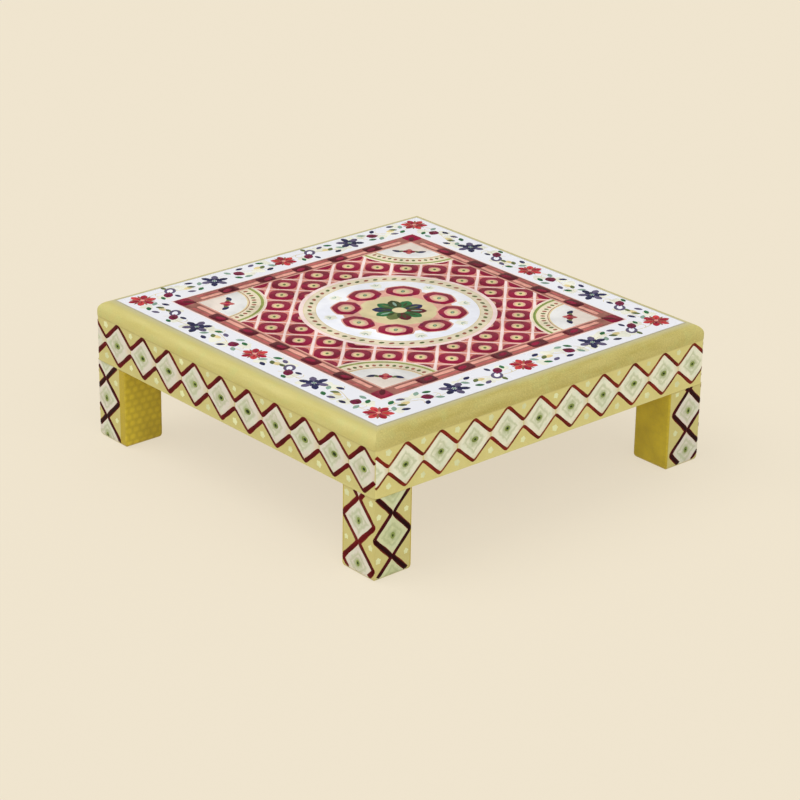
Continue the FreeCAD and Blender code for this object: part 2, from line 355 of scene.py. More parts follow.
def make_piece(name, shapes, material, nodes=()):
    """One object out of closed shapes, with its material and the nodes it stands for.

    The pattern's first two columns become the piece's own UV map, and a third, where there is
    one, an attribute that says how high the relief stands at each point.
    """
    points, faces, pattern = joined(shapes)
    mesh = bpy.data.meshes.new(name)
    corners = np.concatenate([group.reshape(-1) for group in faces])
    totals = np.concatenate([np.full(len(group), group.shape[1]) for group in faces])
    starts = np.concatenate([[0], np.cumsum(totals)[:-1]])
    mesh.vertices.add(len(points))
    mesh.vertices.foreach_set("co", points.astype(np.float32).reshape(-1))
    mesh.loops.add(len(corners))
    mesh.loops.foreach_set("vertex_index", corners.astype(np.int32))
    mesh.polygons.add(len(totals))
    mesh.polygons.foreach_set("loop_start", starts.astype(np.int32))
    mesh.polygons.foreach_set("loop_total", totals.astype(np.int32))
    mesh.polygons.foreach_set("use_smooth", np.ones(len(totals), bool))
    own = mesh.uv_layers.new(name="pattern")
    own.data.foreach_set("uv", pattern[corners, :2].astype(np.float32).reshape(-1))
    if pattern.shape[1] == 3:
        press = mesh.attributes.new("press", "FLOAT", "POINT")
        press.data.foreach_set("value", pattern[:, 2].astype(np.float32))
    mesh.update(calc_edges=True)
    mesh.validate()
    # Only folds sharper than this show as edges.
    mesh.set_sharp_from_angle(angle=math.radians(35))
    mesh.materials.append(material)
    piece = bpy.data.objects.new(name, mesh)
    bpy.context.scene.collection.objects.link(piece)
    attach(piece, "root")
    if nodes:
        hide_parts(*nodes)


# Placing functions: (along, up, height over the ground) to (x, y, z)


def turned(x, y, quarters):
    """Points turned about the upright axis by whole quarter turns, anticlockwise."""
    quarters = np.broadcast_to(np.asarray(quarters) % 4, np.shape(x))
    cos = np.array([1, 0, -1, 0])[quarters]
    sin = np.array([0, 1, 0, -1])[quarters]
    return x * cos - y * sin, x * sin + y * cos


def side_curve(half, radius, share):
    """Front side of a rounded square, seen from above, from one corner's middle to the other's.

    share runs from -1 to 1 in equal lengths: a straight run of half - radius each way, and then
    an arc of an eighth turn.
    """
    straight = half - radius
    distance = np.abs(share) * (straight + radius * math.pi / 4)
    angle = np.where(distance > straight, (distance - straight) / np.maximum(radius, 1e-9), 0.0)
    x = np.where(distance > straight, straight + radius * np.sin(angle), distance)
    return np.sign(share) * x, -(straight + radius * np.cos(angle))


def side_length(half, radius):
    """Half of the length that side_curve runs along."""
    return half - radius + radius * math.pi / 4


def place_on_top(turn=0.0):
    """Lays a pattern on the top sheet, turned about the pattern's middle."""
    cos, sin = math.cos(turn), math.sin(turn)
    right, back = sizes().pattern_right, sizes().pattern_back

    def place(u, v, h):
        x = right + u * cos - v * sin
        y = back + u * sin + v * cos
        return np.stack([x, y, TOP - sizes().relief + h], -1)
    return place


def place_on_skirt(side):
    """Lays a strip on one side of the skirt: u along it from its middle, v up from the floor."""
    def place(u, v, h):
        half = SKIRT_FACE - sizes().relief + h
        radius = np.maximum(sizes().corner_round - sizes().relief + h, 0)
        x, y = side_curve(half, radius, u / side_length(SKIRT_FACE, sizes().corner_round))
        x, y = turned(x, y, side)
        return np.stack([x, y, v], -1)
    return place


def foot_reach(z, radius, depth):
    """How far a leg's rounded lower end draws in at a height: radius less the arc's half chord there."""
    fall = np.clip(sizes().foot_round - depth - z, 0, radius)
    return radius - np.sqrt(radius ** 2 - fall ** 2)


def leg_curve(leg, turn, half, radius):
    """Plan of a leg: turn counts sides anticlockwise from the outer arris, a whole number at each arris."""
    face = np.floor(turn).astype(int)
    x, y = side_curve(half, radius, 2 * (turn - face) - 1)
    x, y = turned(x, y, leg + face)
    sign_x, sign_y = ((-1, -1), (1, -1), (1, 1), (-1, 1))[leg]
    return x + sign_x * LEG_MIDDLE, y + sign_y * LEG_MIDDLE


def place_on_leg(leg):
    """Lays a strip on a leg: u round it anticlockwise from the outer arris, v up from the floor."""
    def place(u, v, h):
        drawn_in = foot_reach(v, sizes().foot_round, FOIL)
        half = LEG_HALF - sizes().relief + h - drawn_in
        radius = np.maximum(sizes().leg_arris_round - sizes().relief + h - drawn_in, 0)
        x, y = leg_curve(leg, u / (2 * side_length(LEG_HALF, sizes().leg_arris_round)), half, radius)
        return np.stack([x, y, v], -1)
    return place


# Outlines in the pattern's plane, anticlockwise


def spread(count):
    """Angles evenly round a circle."""
    return np.arange(count) * 2 * math.pi / count


def heading(angle):
    """Direction at an angle, one long."""
    return np.array([math.cos(angle), math.sin(angle)])


def put(outline, middle, angle=0.0):
    """The outline turned by an angle and moved to a middle."""
    cos, sin = math.cos(angle), math.sin(angle)
    return outline @ np.array([[cos, sin], [-sin, cos]]) + np.asarray(middle, float)


def oval(length_across, width, count=12):
    """Ellipse: half the length times cosine, half the width times sine."""
    t = spread(count)
    return np.c_[np.cos(t) * length_across / 2, np.sin(t) * width / 2]


def leaf(length_across, width, count=12, swell=0.0):
    """Leaf: sine to the power 1.6 makes both ends pointed, and swell fattens the end ahead."""
    t = spread(count)
    up = np.sin(t) * np.abs(np.sin(t)) ** 0.6 * (1 + swell * np.cos(t))
    return np.c_[np.cos(t) * length_across / 2, up * width / 2]


def rounded_square(half, power):
    """Superellipse: half over (|cos|^p + |sin|^p)^(1/p) from the middle."""
    t = spread(24)
    reach = half / (np.abs(np.cos(t)) ** power + np.abs(np.sin(t)) ** power) ** (1 / power)
    return np.c_[np.cos(t), np.sin(t)] * reach[:, None]


def hexagon(radius, softness):
    """Hexagon with a corner ahead: the reach of its sides blended with a circle by softness."""
    t = spread(24)
    reach = radius * math.cos(math.pi / 6) / np.cos((t % (math.pi / 3)) - math.pi / 6)
    reach = reach * (1 - softness) + radius * 0.93 * softness
    return np.c_[np.cos(t), np.sin(t)] * reach[:, None]


def blossom(radius, lobes, depth):
    """Soft star: a circle whose reach swells and shrinks by depth, as often as there are lobes."""
    t = spread(20)
    reach = radius * (1 + depth * np.cos(lobes * t)) / (1 + depth)
    return np.c_[np.cos(t), np.sin(t)] * reach[:, None]


def square(half, count=8):
    """Square outline with count points a side."""
    side = np.linspace(-1, 1, count + 1)[:-1]
    one = np.ones(count)
    sides = (side, -one), (one, side), (-side, one), (-one, -side)
    return np.concatenate([np.c_[x, y] for x, y in sides]) * half


def cut(outline, low, high):
    """The part of an outline inside an upright box, or None where hardly anything is left."""
    narrowest = 0.8 * MM
    for axis, limit, sign in ((0, low[0], 1), (0, high[0], -1), (1, low[1], 1), (1, high[1], -1)):
        kept = []
        for here, after in zip(outline, np.roll(outline, -1, 0)):
            inside, next_inside = (here[axis] - limit) * sign > 0, (after[axis] - limit) * sign > 0
            if inside:
                kept.append(here)
            if inside != next_inside:
                kept.append(here + (after - here) * (limit - here[axis]) / (after[axis] - here[axis]))
        if len(kept) < 3:
            return None
        outline = np.array(kept)
    return outline if np.ptp(outline, 0).min() > narrowest else None


def arc_path(middle, radius, start, end, count):
    """Points along an arc, angles in degrees."""
    t = np.radians(np.linspace(start, end, count))
    return np.c_[np.cos(t), np.sin(t)] * radius + np.asarray(middle, float)


def ripple(x, *lengths):
    """Slow unevenness between -1 and 1: the mean of sines of the given wavelengths."""
    return sum(np.sin(2 * math.pi * x / w + i * 1.7) for i, w in enumerate(lengths)) / len(lengths)


# Materials


def add(tree, kind, inputs=None, **settings):
    """Add one node with its settings, and link each input that is a socket or set it to its value."""
    node = tree.nodes.new(kind)
    for key, value in settings.items():
        setattr(node, key, value)
    for key, value in (inputs or {}).items():
        if isinstance(value, NodeSocket):
            tree.links.new(value, node.inputs[key])
        else:
            node.inputs[key].default_value = value
    return node


def shade(base, factor):
    """A colour made darker or lighter by one factor."""
    return tuple(min(c * factor, 1.0) for c in base)


class Finish:
    """A material in the making: its nodes, the coordinates that its patterns lie in, and its tone so far.

    A pattern is a socket, or noise given by the size of its blotches in millimetres, alone or with
    its detail and roughness.
    """

    def __init__(self, name, base):
        self.material = bpy.data.materials.new(name)
        self.material.use_nodes = True
        self.tree = self.material.node_tree
        self.tree.nodes.clear()
        self.place = add(self.tree, "ShaderNodeTexCoord").outputs["Object"]
        self.tone = (*base, 1.0)
        self.noises = {}

    def amount(self, pattern, low, high, first=0.0, last=1.0):
        """A value from first to last as the pattern goes from low to high, and held beyond both."""
        if not isinstance(pattern, NodeSocket):
            size_mm, detail, roughness = pattern if isinstance(pattern, tuple) else (pattern, 3.0, 0.55)
            key = (self.place, size_mm, detail, roughness)
            if key not in self.noises:
                inputs = {"Vector": self.place, "Scale": 1 / (size_mm * MM)}
                inputs.update({"Detail": detail, "Roughness": roughness})
                self.noises[key] = add(self.tree, "ShaderNodeTexNoise", inputs).outputs["Fac"]
            pattern = self.noises[key]
        inputs = {"Value": pattern, "From Min": low, "From Max": high, "To Min": first, "To Max": last}
        return add(self.tree, "ShaderNodeMapRange", inputs).outputs["Result"]

    def lay(self, colour, pattern, bare, full, share=1.0):
        """Turn the tone to a colour: not at all where the pattern is at bare, by share where at full."""
        inputs = {0: self.amount(pattern, bare, full, 0.0, share), 6: self.tone, 7: (*colour, 1.0)}
        self.tone = add(self.tree, "ShaderNodeMix", inputs, data_type="RGBA").outputs[2]

    def surface(self, roughness, grit, depth_mm, metallic=0.0, specular=0.5):
        """The finished material. Its grit is a pattern that stands depth_mm over the surface where it is 1.

        roughness is one number, or where it varies what amount() needs.
        """
        inputs = {"Height": self.amount(grit, 0.0, 1.0), "Distance": depth_mm * MM, "Strength": 1.0}
        bump = add(self.tree, "ShaderNodeBump", inputs)
        shader = add(self.tree, "ShaderNodeBsdfPrincipled", {
            "Base Color": self.tone,
            "Roughness": self.amount(*roughness) if isinstance(roughness, tuple) else roughness,
            "Metallic": metallic,
            "Specular IOR Level": specular,
            "Normal": bump.outputs["Normal"],
        })
        add(self.tree, "ShaderNodeOutputMaterial", {"Surface": shader.outputs["BSDF"]})
        return self.material


def enamel_paint(name, base, deep_share, blotch_mm):
    """Hand-laid enamel paint: the tone drifts to a thick-brushed deep one, and the skin is uneven."""
    paint = Finish(name, base)
    paint.lay(shade(base, deep_share), blotch_mm, 0.38, 0.62)
    paint.lay(shade(base, 1.25), 31.0, 0.45, 0.62, 0.6)
    paint.lay(shade(base, 1.35), 1.1, 0.35, 0.75, 0.15)
    # Brushed enamel mirrors the room less than fired enamel does, so its darks stay dark.
    return paint.surface((1.1, 0.35, 0.75, 0.36, 0.56), 1.6, 0.05, specular=0.06)


def white_enamel():
    """Fired white enamel on thin sheet: glossy and a little uneven, with a painted grey shade along its
    edge.
    """
    base = colours().white
    enamel = Finish("White enamel on sheet", base)
    tree = enamel.tree
    cloud = (38.0, 4.0, 0.55)
    enamel.lay(shade(base, 0.93), cloud, 0.35, 0.7, 0.5)
    flat = add(tree, "ShaderNodeVectorMath", {0: enamel.place}, operation="ABSOLUTE").outputs["Vector"]
    axes = add(tree, "ShaderNodeSeparateXYZ", {"Vector": flat}).outputs
    reach = add(tree, "ShaderNodeMath", {0: axes["X"], 1: axes["Y"]}, operation="MAXIMUM").outputs[0]
    # Painted shade: the tone turns grey over the last millimetre or so up to the sheet's edge.
    enamel.lay(linear("#A59E84"), reach, SHEET_HALF - 1.3 * MM, SHEET_HALF - 0.2 * MM)
    # Fired glass is the smoothest finish on the table, and keeps a glass's full mirror image.
    return enamel.surface((cloud, 0.35, 0.7, 0.24, 0.36), (6.0, 2.0, 0.55), 0.10)


def line_enamel(name, laden, thin, rim):
    """Enamel run in a raised line: dark where laid thick, browner where thin, orange along its rims."""
    line = Finish(name, thin)
    own = add(line.tree, "ShaderNodeUVMap", uv_map="pattern").outputs["UV"]
    flat = add(line.tree, "ShaderNodeVectorMath", {0: own}, operation="ABSOLUTE").outputs["Vector"]
    across = add(line.tree, "ShaderNodeSeparateXYZ", {"Vector": flat}).outputs["Y"]
    thick = add(line.tree, "ShaderNodeAttribute", attribute_name="press").outputs["Fac"]
    uneven = line.amount(8.0, 0.3, 0.7, -0.45, 0.45)
    thick = add(line.tree, "ShaderNodeMath", {0: thick, 1: uneven}, operation="ADD").outputs[0]
    line.lay(laden, thick, 0.0, 0.7)
    line.lay(shade(laden, 0.4), 11.0, 0.42, 0.62, 0.75)
    line.lay(rim, across, 1.1 * MM, 1.9 * MM, 0.5)
    # Little sheen, as on the other brushed enamels.
    return line.surface(0.4, 1.6, 0.05, specular=0.06)


def pressed_foil(name, base, deep, metallic, roughness, seam=SKIRT_HIGH, hollow_shade_share=0.0):
    """Gold-lacquered thin foil: satin metal with its lacquer pooled in a darker tone, shaded at the seam.

    hollow_shade_share is how far the tone turns deep in the hollows of the pressed relief, a painted shade.
    """
    foil = Finish(name, base)
    grit = (1.1, 2.0, 0.55)
    foil.lay(deep, (16.0, 4.0, 0.55), 0.35, 0.7, 0.45)
    if hollow_shade_share:
        height = add(foil.tree, "ShaderNodeAttribute", attribute_name="press").outputs["Fac"]
        # Painted shade: the tone turns deep in the hollows of the pressed relief.
        foil.lay(deep, height, 0.8, 0.1, hollow_shade_share)
    foil.lay(shade(base, 1.2), grit, 0.5, 0.8, 0.3)
    above = add(foil.tree, "ShaderNodeSeparateXYZ", {"Vector": foil.place}).outputs["Z"]
    from_seam = add(foil.tree, "ShaderNodeMath", {0: above, 1: seam}, operation="SUBTRACT").outputs[0]
    from_seam = add(foil.tree, "ShaderNodeMath", {0: from_seam}, operation="ABSOLUTE").outputs[0]
    foil.lay(colours().fold, from_seam, 1.2 * MM, 0.2 * MM, 0.3)
    # The lacquer leaves the metal little of its mirror: it is only a little metallic, and quite rough.
    return foil.surface((grit, 0.3, 0.7, roughness - 0.07, roughness + 0.1), grit, 0.05, metallic)


def edge_foil_metal(name, base, deep, speckle_and_hollow_shade, top_shade):
    """The edge's foil: lengthwise clouds, flecks, painted shade in the beads' hollows, and a grey painted
    shade at the enamel.

    The deep tone pools in the clouds. Near the mitred corners the lit and the shaded copies both turn to
    one middle tone, a painted light, and top_shade is how far the tone turns darker on the upper part of
    the round, a painted shade.
    """
    foil = Finish(name, base)
    own = add(foil.tree, "ShaderNodeUVMap", uv_map="pattern").outputs["UV"]
    stretch = (0.14, 1.0, 1.0)
    on_sheet = foil.place
    foil.place = add(foil.tree, "ShaderNodeMapping", {"Vector": own, "Scale": stretch}).outputs[0]
    foil.lay(deep, (6.0, 2.0, 0.55), 0.35, 0.68, 0.8)
    foil.place = on_sheet
    split = add(foil.tree, "ShaderNodeSeparateXYZ", {"Vector": own}).outputs
    along = add(foil.tree, "ShaderNodeMath", {0: split["X"]}, operation="ABSOLUTE").outputs[0]
    # Painted light: near the mitres both copies turn to one middle tone, where the lit and the shaded sides
    # meet.
    foil.lay(linear("#CBC178"), along, 128.0 * MM, 150.0 * MM, 0.9)
    height = add(foil.tree, "ShaderNodeAttribute", attribute_name="press").outputs["Fac"]
    # Painted shade: the tone turns darker in the hollows between the pressed beads.
    foil.lay(shade(deep, 0.85), height, 0.9, 0.1, speckle_and_hollow_shade)
    foil.lay(linear("#BEC67E"), 9.0, 0.5, 0.7, 0.35)
    grit = (0.9, 4.0, 0.7)
    foil.lay(shade(base, 1.3), grit, 0.52, 0.7, 2 * speckle_and_hollow_shade)
    foil.lay(shade(deep, 0.75), grit, 0.48, 0.32, 1.5 * speckle_and_hollow_shade)
    # Painted shade: the upper part of the round turns darker, where the lamps light it most.
    foil.lay(shade(deep, 0.85), split["Y"], 9.0 * MM, 4.0 * MM, top_shade)
    # Painted shade: a grey line along the foil's upper edge, against the enamel.
    foil.lay(colours().boundary_shade, split["Y"], 5.0 * MM, 0.6 * MM, 0.7)
    # A thin lacquer over satin metal: a little metallic, and rough enough to show no mirror image.
    return foil.surface((grit, 0.3, 0.7, 0.45, 0.62), grit, 0.06, 0.12)


def diamond_enamel(name, base):
    """White enamel in the strip's diamonds: a soft green glow about the core, and a faint band round it."""
    enamel = Finish(name, base)
    tree = enamel.tree
    green = colours().pale_green
    enamel.lay(shade(base, 0.9), 5.0, 0.35, 0.7, 0.6)
    enamel.lay(linear("#D8E2C8"), 13.0, 0.48, 0.6, 0.5)
    own = add(tree, "ShaderNodeUVMap", uv_map="pattern").outputs["UV"]
    uneven = enamel.amount(3.0, 0.3, 0.7, -1.2 * MM, 1.2 * MM)
    distance = add(tree, "ShaderNodeVectorMath", {0: own}, operation="LENGTH").outputs["Value"]
    distance = add(tree, "ShaderNodeMath", {0: distance, 1: uneven}, operation="ADD").outputs[0]
    enamel.lay(linear("#DAC9A2"), distance, 10.5 * MM, 14.0 * MM, 0.6)
    # The band follows the diamond's slanting sides: it lies where the two distances from the core,
    # along and up the strip, add up to 6 to 10.4 mm.
    flat = add(tree, "ShaderNodeVectorMath", {0: own}, operation="ABSOLUTE").outputs["Vector"]
    both = {0: flat, 1: (1.0, 1.0, 0.0)}
    slant = add(tree, "ShaderNodeVectorMath", both, operation="DOT_PRODUCT").outputs["Value"]
    slant = add(tree, "ShaderNodeMath", {0: slant, 1: uneven}, operation="ADD").outputs[0]
    rise = enamel.amount(slant, 6.0 * MM, 7.6 * MM, 0.0, 0.5)
    fall = enamel.amount(slant, 8.2 * MM, 10.4 * MM, 1.0, 0.0)
    band = add(tree, "ShaderNodeMath", {0: fall, 1: rise}, operation="MULTIPLY").outputs[0]
    enamel.lay(green, band, 0.0, 1.0)
    enamel.lay(green, distance, 5.6 * MM, 2.2 * MM, 0.8)
    # Thinly fired, it shines less than the top's enamel and more than brushed paint.
    return enamel.surface(0.42, 2.2, 0.08, specular=0.3)


def planed_wood(name, grain_axis):
    """Planed softwood, bare: streaks along the grain, soft pores, a dull surface."""
    base = colours().wood
    wood = Finish(name, base)
    stretch = [1.0, 1.0, 1.0]
    stretch["XYZ".index(grain_axis)] = 0.06
    wood.place = add(wood.tree, "ShaderNodeMapping", {"Vector": wood.place, "Scale": stretch}).outputs[0]
    pore = (0.9, 2.0, 0.55)
    # Late wood is darker than early wood, and redder.
    late = [channel * share for channel, share in zip(base, (0.68, 0.58, 0.48))]
    wood.lay(late, (5.0, 5.0, 0.6), 0.35, 0.65)
    wood.lay(shade(base, 0.4), pore, 0.55, 0.75, 0.5)
    # Without varnish, it is dull.
    return wood.surface(0.72, pore, 0.12)


def drawn_metal(name, base, roughness):
    """Drawn and headed wire of nails, screws and pins: bright metal with fine scratches."""
    metal = Finish(name, base)
    scratch = (0.4, 2.0, 0.55)
    metal.lay(shade(base, 0.7), scratch, 0.4, 0.7)
    # Bare metal all over: it mirrors the room, a little blurred where it is scratched.
    return metal.surface((scratch, 0.3, 0.7, roughness - 0.08, roughness + 0.1), scratch, 0.02, 1.0)


def seen_rays(tree):
    """1 for what the camera sees, straight or in a gloss, and 0 for light that falls on the table."""
    rays = add(tree, "ShaderNodeLightPath").outputs
    seen = rays["Is Camera Ray"]
    for ray in ("Is Glossy Ray", "Is Transmission Ray"):
        seen = add(tree, "ShaderNodeMath", {0: seen, 1: rays[ray]}, operation="MAXIMUM").outputs[0]
    return seen


def paper_backdrop():
    """Matt paper under and behind the table: an even pale tone that keeps the table's soft shadow."""
    base = colours().backdrop
    paper = Finish("Backdrop paper", base)
    tree = paper.tree
    paper.lay(shade(base, 0.9), 400.0, 0.3, 0.7, 0.03)
    # Paper is matt all over and mirrors nothing.
    matt = add(tree, "ShaderNodeBsdfPrincipled", {
        "Base Color": paper.tone, "Roughness": 1.0, "Specular IOR Level": 0.0})
    even = add(tree, "ShaderNodeEmission", {"Color": (*base, 1.0), "Strength": 1.0})
    glow = {0: seen_rays(tree), 1: bpy.context.scene.studio_settings.floor_glow}
    share = add(tree, "ShaderNodeMath", glow, operation="MULTIPLY").outputs[0]
    mixed = add(tree, "ShaderNodeMixShader", {0: share, 1: matt.outputs[0], 2: even.outputs[0]})
    add(tree, "ShaderNodeOutputMaterial", {"Surface": mixed.outputs[0]})
    return paper.material


def paint_materials():
    """Each named enamel paint, made once."""
    made = {}
    # Its thick spots' depth, as a share of its colour, and how many millimetres across they are.
    look = {
        "maroon": (0.5, 6.0), "brick": (0.6, 7.0), "salmon": (0.78, 5.0), "block": (0.6, 5.0),
        "pink": (0.9, 9.0), "rose": (0.75, 5.0), "field": (0.68, 5.0), "gold": (0.8, 7.0),
        "disc": (0.88, 9.0), "cream": (0.85, 6.0), "wash": (0.93, 8.0), "red": (0.5, 5.0),
        "crimson": (0.65, 6.0), "coral": (0.7, 4.0), "navy": (0.6, 4.0), "dusk": (0.7, 4.0),
        "fan_white": (0.93, 8.0), "fan_cream": (0.93, 8.0), "magenta": (0.6, 4.0), "green": (0.5, 4.0),
        "sage": (0.75, 4.0), "olive": (0.6, 4.0), "russet": (0.6, 4.0), "dark_green": (0.6, 2.0),
        "leaf_green": (0.7, 3.0), "arc_green": (0.7, 6.0), "star": (0.9, 4.0), "white": (0.95, 9.0),
    }
    for paint, (deep, blotch) in look.items():
        name = "Enamel paint " + paint.replace("_", " ")
        base = getattr(colours(), paint)
        made[paint] = bpy.data.materials.get(name) or enamel_paint(name, base, deep, blotch)
    return made


def strip_materials():
    """The strip's paints: all the named ones, the diamonds' enamels and the raised lines."""
    c = colours()
    paints = paint_materials()
    for paint in ("diamond", "soft_diamond", "green_diamond"):
        name = paint.replace("_", " ").capitalize() + " enamel"
        paints[paint] = bpy.data.materials.get(name) or diamond_enamel(name, getattr(c, paint))
    for paint, thin in (("line_red", c.thin_red), ("line_rust", c.thin_rust), ("leg_line", c.thin_leg)):
        name = "Raised enamel " + paint.replace("_", " ")
        laden = getattr(c, paint)
        paints[paint] = bpy.data.materials.get(name) or line_enamel(name, laden, thin, c.line_rim)
    return paints


def dress(nodes, material):
    """Put one material on CAD nodes."""
    for name in nodes:
        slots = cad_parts[name].data.materials
        slots.clear()
        slots.append(material)


class TABLE_OT_wood(Operator):
    """Give the wooden core its grain, along each piece"""
    bl_idname = "table.wood"
    bl_label = "Wooden core"

    def execute(self, context):
        grains = {"X": ["top_board", "apron_front", "apron_back"], "Y": ["apron_left", "apron_right"],
                  "Z": ["leg_" + leg for leg in LEGS]}
        for axis, names in grains.items():
            dress(names, planed_wood("Planed wood along " + axis, axis))
        return {"FINISHED"}


class TABLE_OT_fasteners(Operator):
    """Give the screws, nails and pins their metals"""
    bl_idname = "table.fasteners"
    bl_label = "Fasteners"

    def execute(self, context):
        dress(["board_screws", "apron_nails"], drawn_metal("Zinc-plated steel", colours().steel, 0.35))
        dress(["foil_pins"], drawn_metal("Brass-plated pin", colours().brass, 0.3))
        return {"FINISHED"}


# Paint work on the top


def level(coats):
    """Height over the ground of so many coats of paint."""
    return coats * sizes().coat


class Palette:
    """Shapes laid so far in a pattern's plane, by the paint that they are laid in.

    Heights are given in coats. All paint reaches two coats into the ground, so that it stands closed.
    """

    def __init__(self, place, shapes=None):
        self.place = place
        self.shapes = {} if shapes is None else shapes

    def beside(self, place):
        """The same palette, laying in another place."""
        return Palette(place, self.shapes)

    def lay(self, paint, shape):
        """A closed shape, moved to its place on the table."""
        self.shapes.setdefault(paint, []).append(placed(shape, self.place))

    def coat(self, paint, outline, coats):
        """A flat coat of paint."""
        self.lay(paint, plate(outline, level(coats), level(-2)))

    def line(self, paint, path, width, coats, closed=False):
        """A brush line."""
        self.lay(paint, stroke(path, width, level(coats), level(-2), closed))

    def dab(self, paint, outline, coats):
        """A drop of paint on the ground."""
        self.lay(paint, dab(outline, level(coats), level(-2)))

    def bead(self, paint, outline, under, thick=1.0, rim=0.8):
        """A drop of paint on other coats: from a little inside them to so many coats over them."""
        self.lay(paint, dab(outline, level(under + thick), level(under - 0.6), rim))

    def finish(self, prefix, slot, paints):
        """One piece for each paint."""
        for paint, shapes in self.shapes.items():
            make_piece(prefix + "_" + paint, shapes, paints[paint])


class TABLE_OT_top_sheet(Operator):
    """Lay the white enamelled sheet, a low wavy plate with softened edges"""
    bl_idname = "table.top_sheet"
    bl_label = "Top sheet"

    def execute(self, context):
        # Rings of a square drawn in towards the middle; the height ripples by a few hundredths
        # of a millimetre, and the outer rings round the edge over.
        ground = TOP - sizes().relief
        edge = 0.4 * MM
        rings = [(0.0, SHEET_BASE), (0.0, ground - edge)]
        for a in np.radians([30, 60, 90]):
            rings.append((edge * (1 - math.cos(a)), ground - edge * (1 - math.sin(a))))
        rings += [(SHEET_HALF * share, ground) for share in np.linspace(0.02, 0.995, 40)]
        points = []
        for drawn_in, height in rings:
            flat = square(SHEET_HALF, 60) * (1 - drawn_in / SHEET_HALF)
            wave = 0.03 * MM * ripple(flat[:, 0] + 0.4 * flat[:, 1], 0.09, 0.051) * (drawn_in > edge)
            points.append(np.c_[flat, height + wave])
        points = np.stack(points)
        make_piece("top_sheet_enamel", [tube(points, points[..., :2])], white_enamel(),
                   ["enamel_top_sheet"])
        return {"FINISHED"}


class TABLE_OT_lattice(Operator):
    """Paint the salmon field with its diagonal lattice of pale lines and maroon cells"""
    bl_idname = "table.lattice"
    bl_label = "Lattice"

    def execute(self, context):
        s = sizes()
        inner, pitch = s.frame_inner, s.lattice_pitch
        # The field reaches under the frame by less than half of the frame's band.
        reach = inner + 0.4 * (s.frame_half - inner)
        flat = Palette(place_on_top())
        diagonal = flat.beside(place_on_top(math.pi / 4))
        flat.coat("field", square(reach, 2), 1)
        thin_mm, broad_mm = 1.4, 2.8
        for step in np.arange(-6, 7) + 0.5:
            offset = step * pitch
            run = reach * math.sqrt(2) - abs(offset)
            if run < pitch / 4:
                continue
            along = np.linspace(-run, run, 40)
            wobble = 0.25 * MM * ripple(along + offset * 3, 0.037, 0.061)
            uneven = MM * (1 + 0.15 * ripple(along - offset, 0.029))
            diagonal.line("pink", np.c_[along, offset + wobble], thin_mm * uneven, 2)
            diagonal.line("pink", np.c_[offset + wobble, along], broad_mm * uneven, 2.1)
        # Cells wherever the lines leave a square, but for those that the medallion covers.
        for i in range(-7, 8):
            for j in range(-7, 8):
                middle = np.array([i, j]) * pitch / math.sqrt(2)
                if (i + j) % 2 == 0 and np.hypot(*middle) > s.medallion - 0.6 * pitch:
                    self.cell(flat, middle, pitch, inner + 1.5 * MM)
        flat.finish("lattice", "enamelled_sheet", paint_materials())
        return {"FINISHED"}

    def cell(self, palette, middle, pitch, reach):
        """A maroon rounded square on its corner, its gold middle with a rose rim, and a green seed."""
        # Laid by hand, each one stands off its place by up to a quarter of a millimetre.
        middle = middle + 0.25 * MM * np.array([math.sin(middle[0] * 900), math.cos(middle[1] * 700)])
        limit = np.array([reach, reach])
        for paint, share, power, coats in (("maroon", 0.425, 3.4, 2.3), ("rose", 0.215, 2.4, 2.45),
                                           ("gold", 0.16, 2.2, 2.6)):
            outline = cut(put(rounded_square(share * pitch, power), middle, math.pi / 4), -limit, limit)
            if outline is not None:
                palette.coat(paint, outline, coats)
        s = sizes()
        from_fan = np.hypot(*(np.abs(middle) - s.frame_inner)) - s.fan
        if min(reach - np.abs(middle).max(), np.hypot(*middle) - s.medallion, from_fan) > 2 * MM:
            palette.bead("olive", put(oval(2.6 * MM, 3.8 * MM, 8), middle, 0.8), 2.6, 0.7)


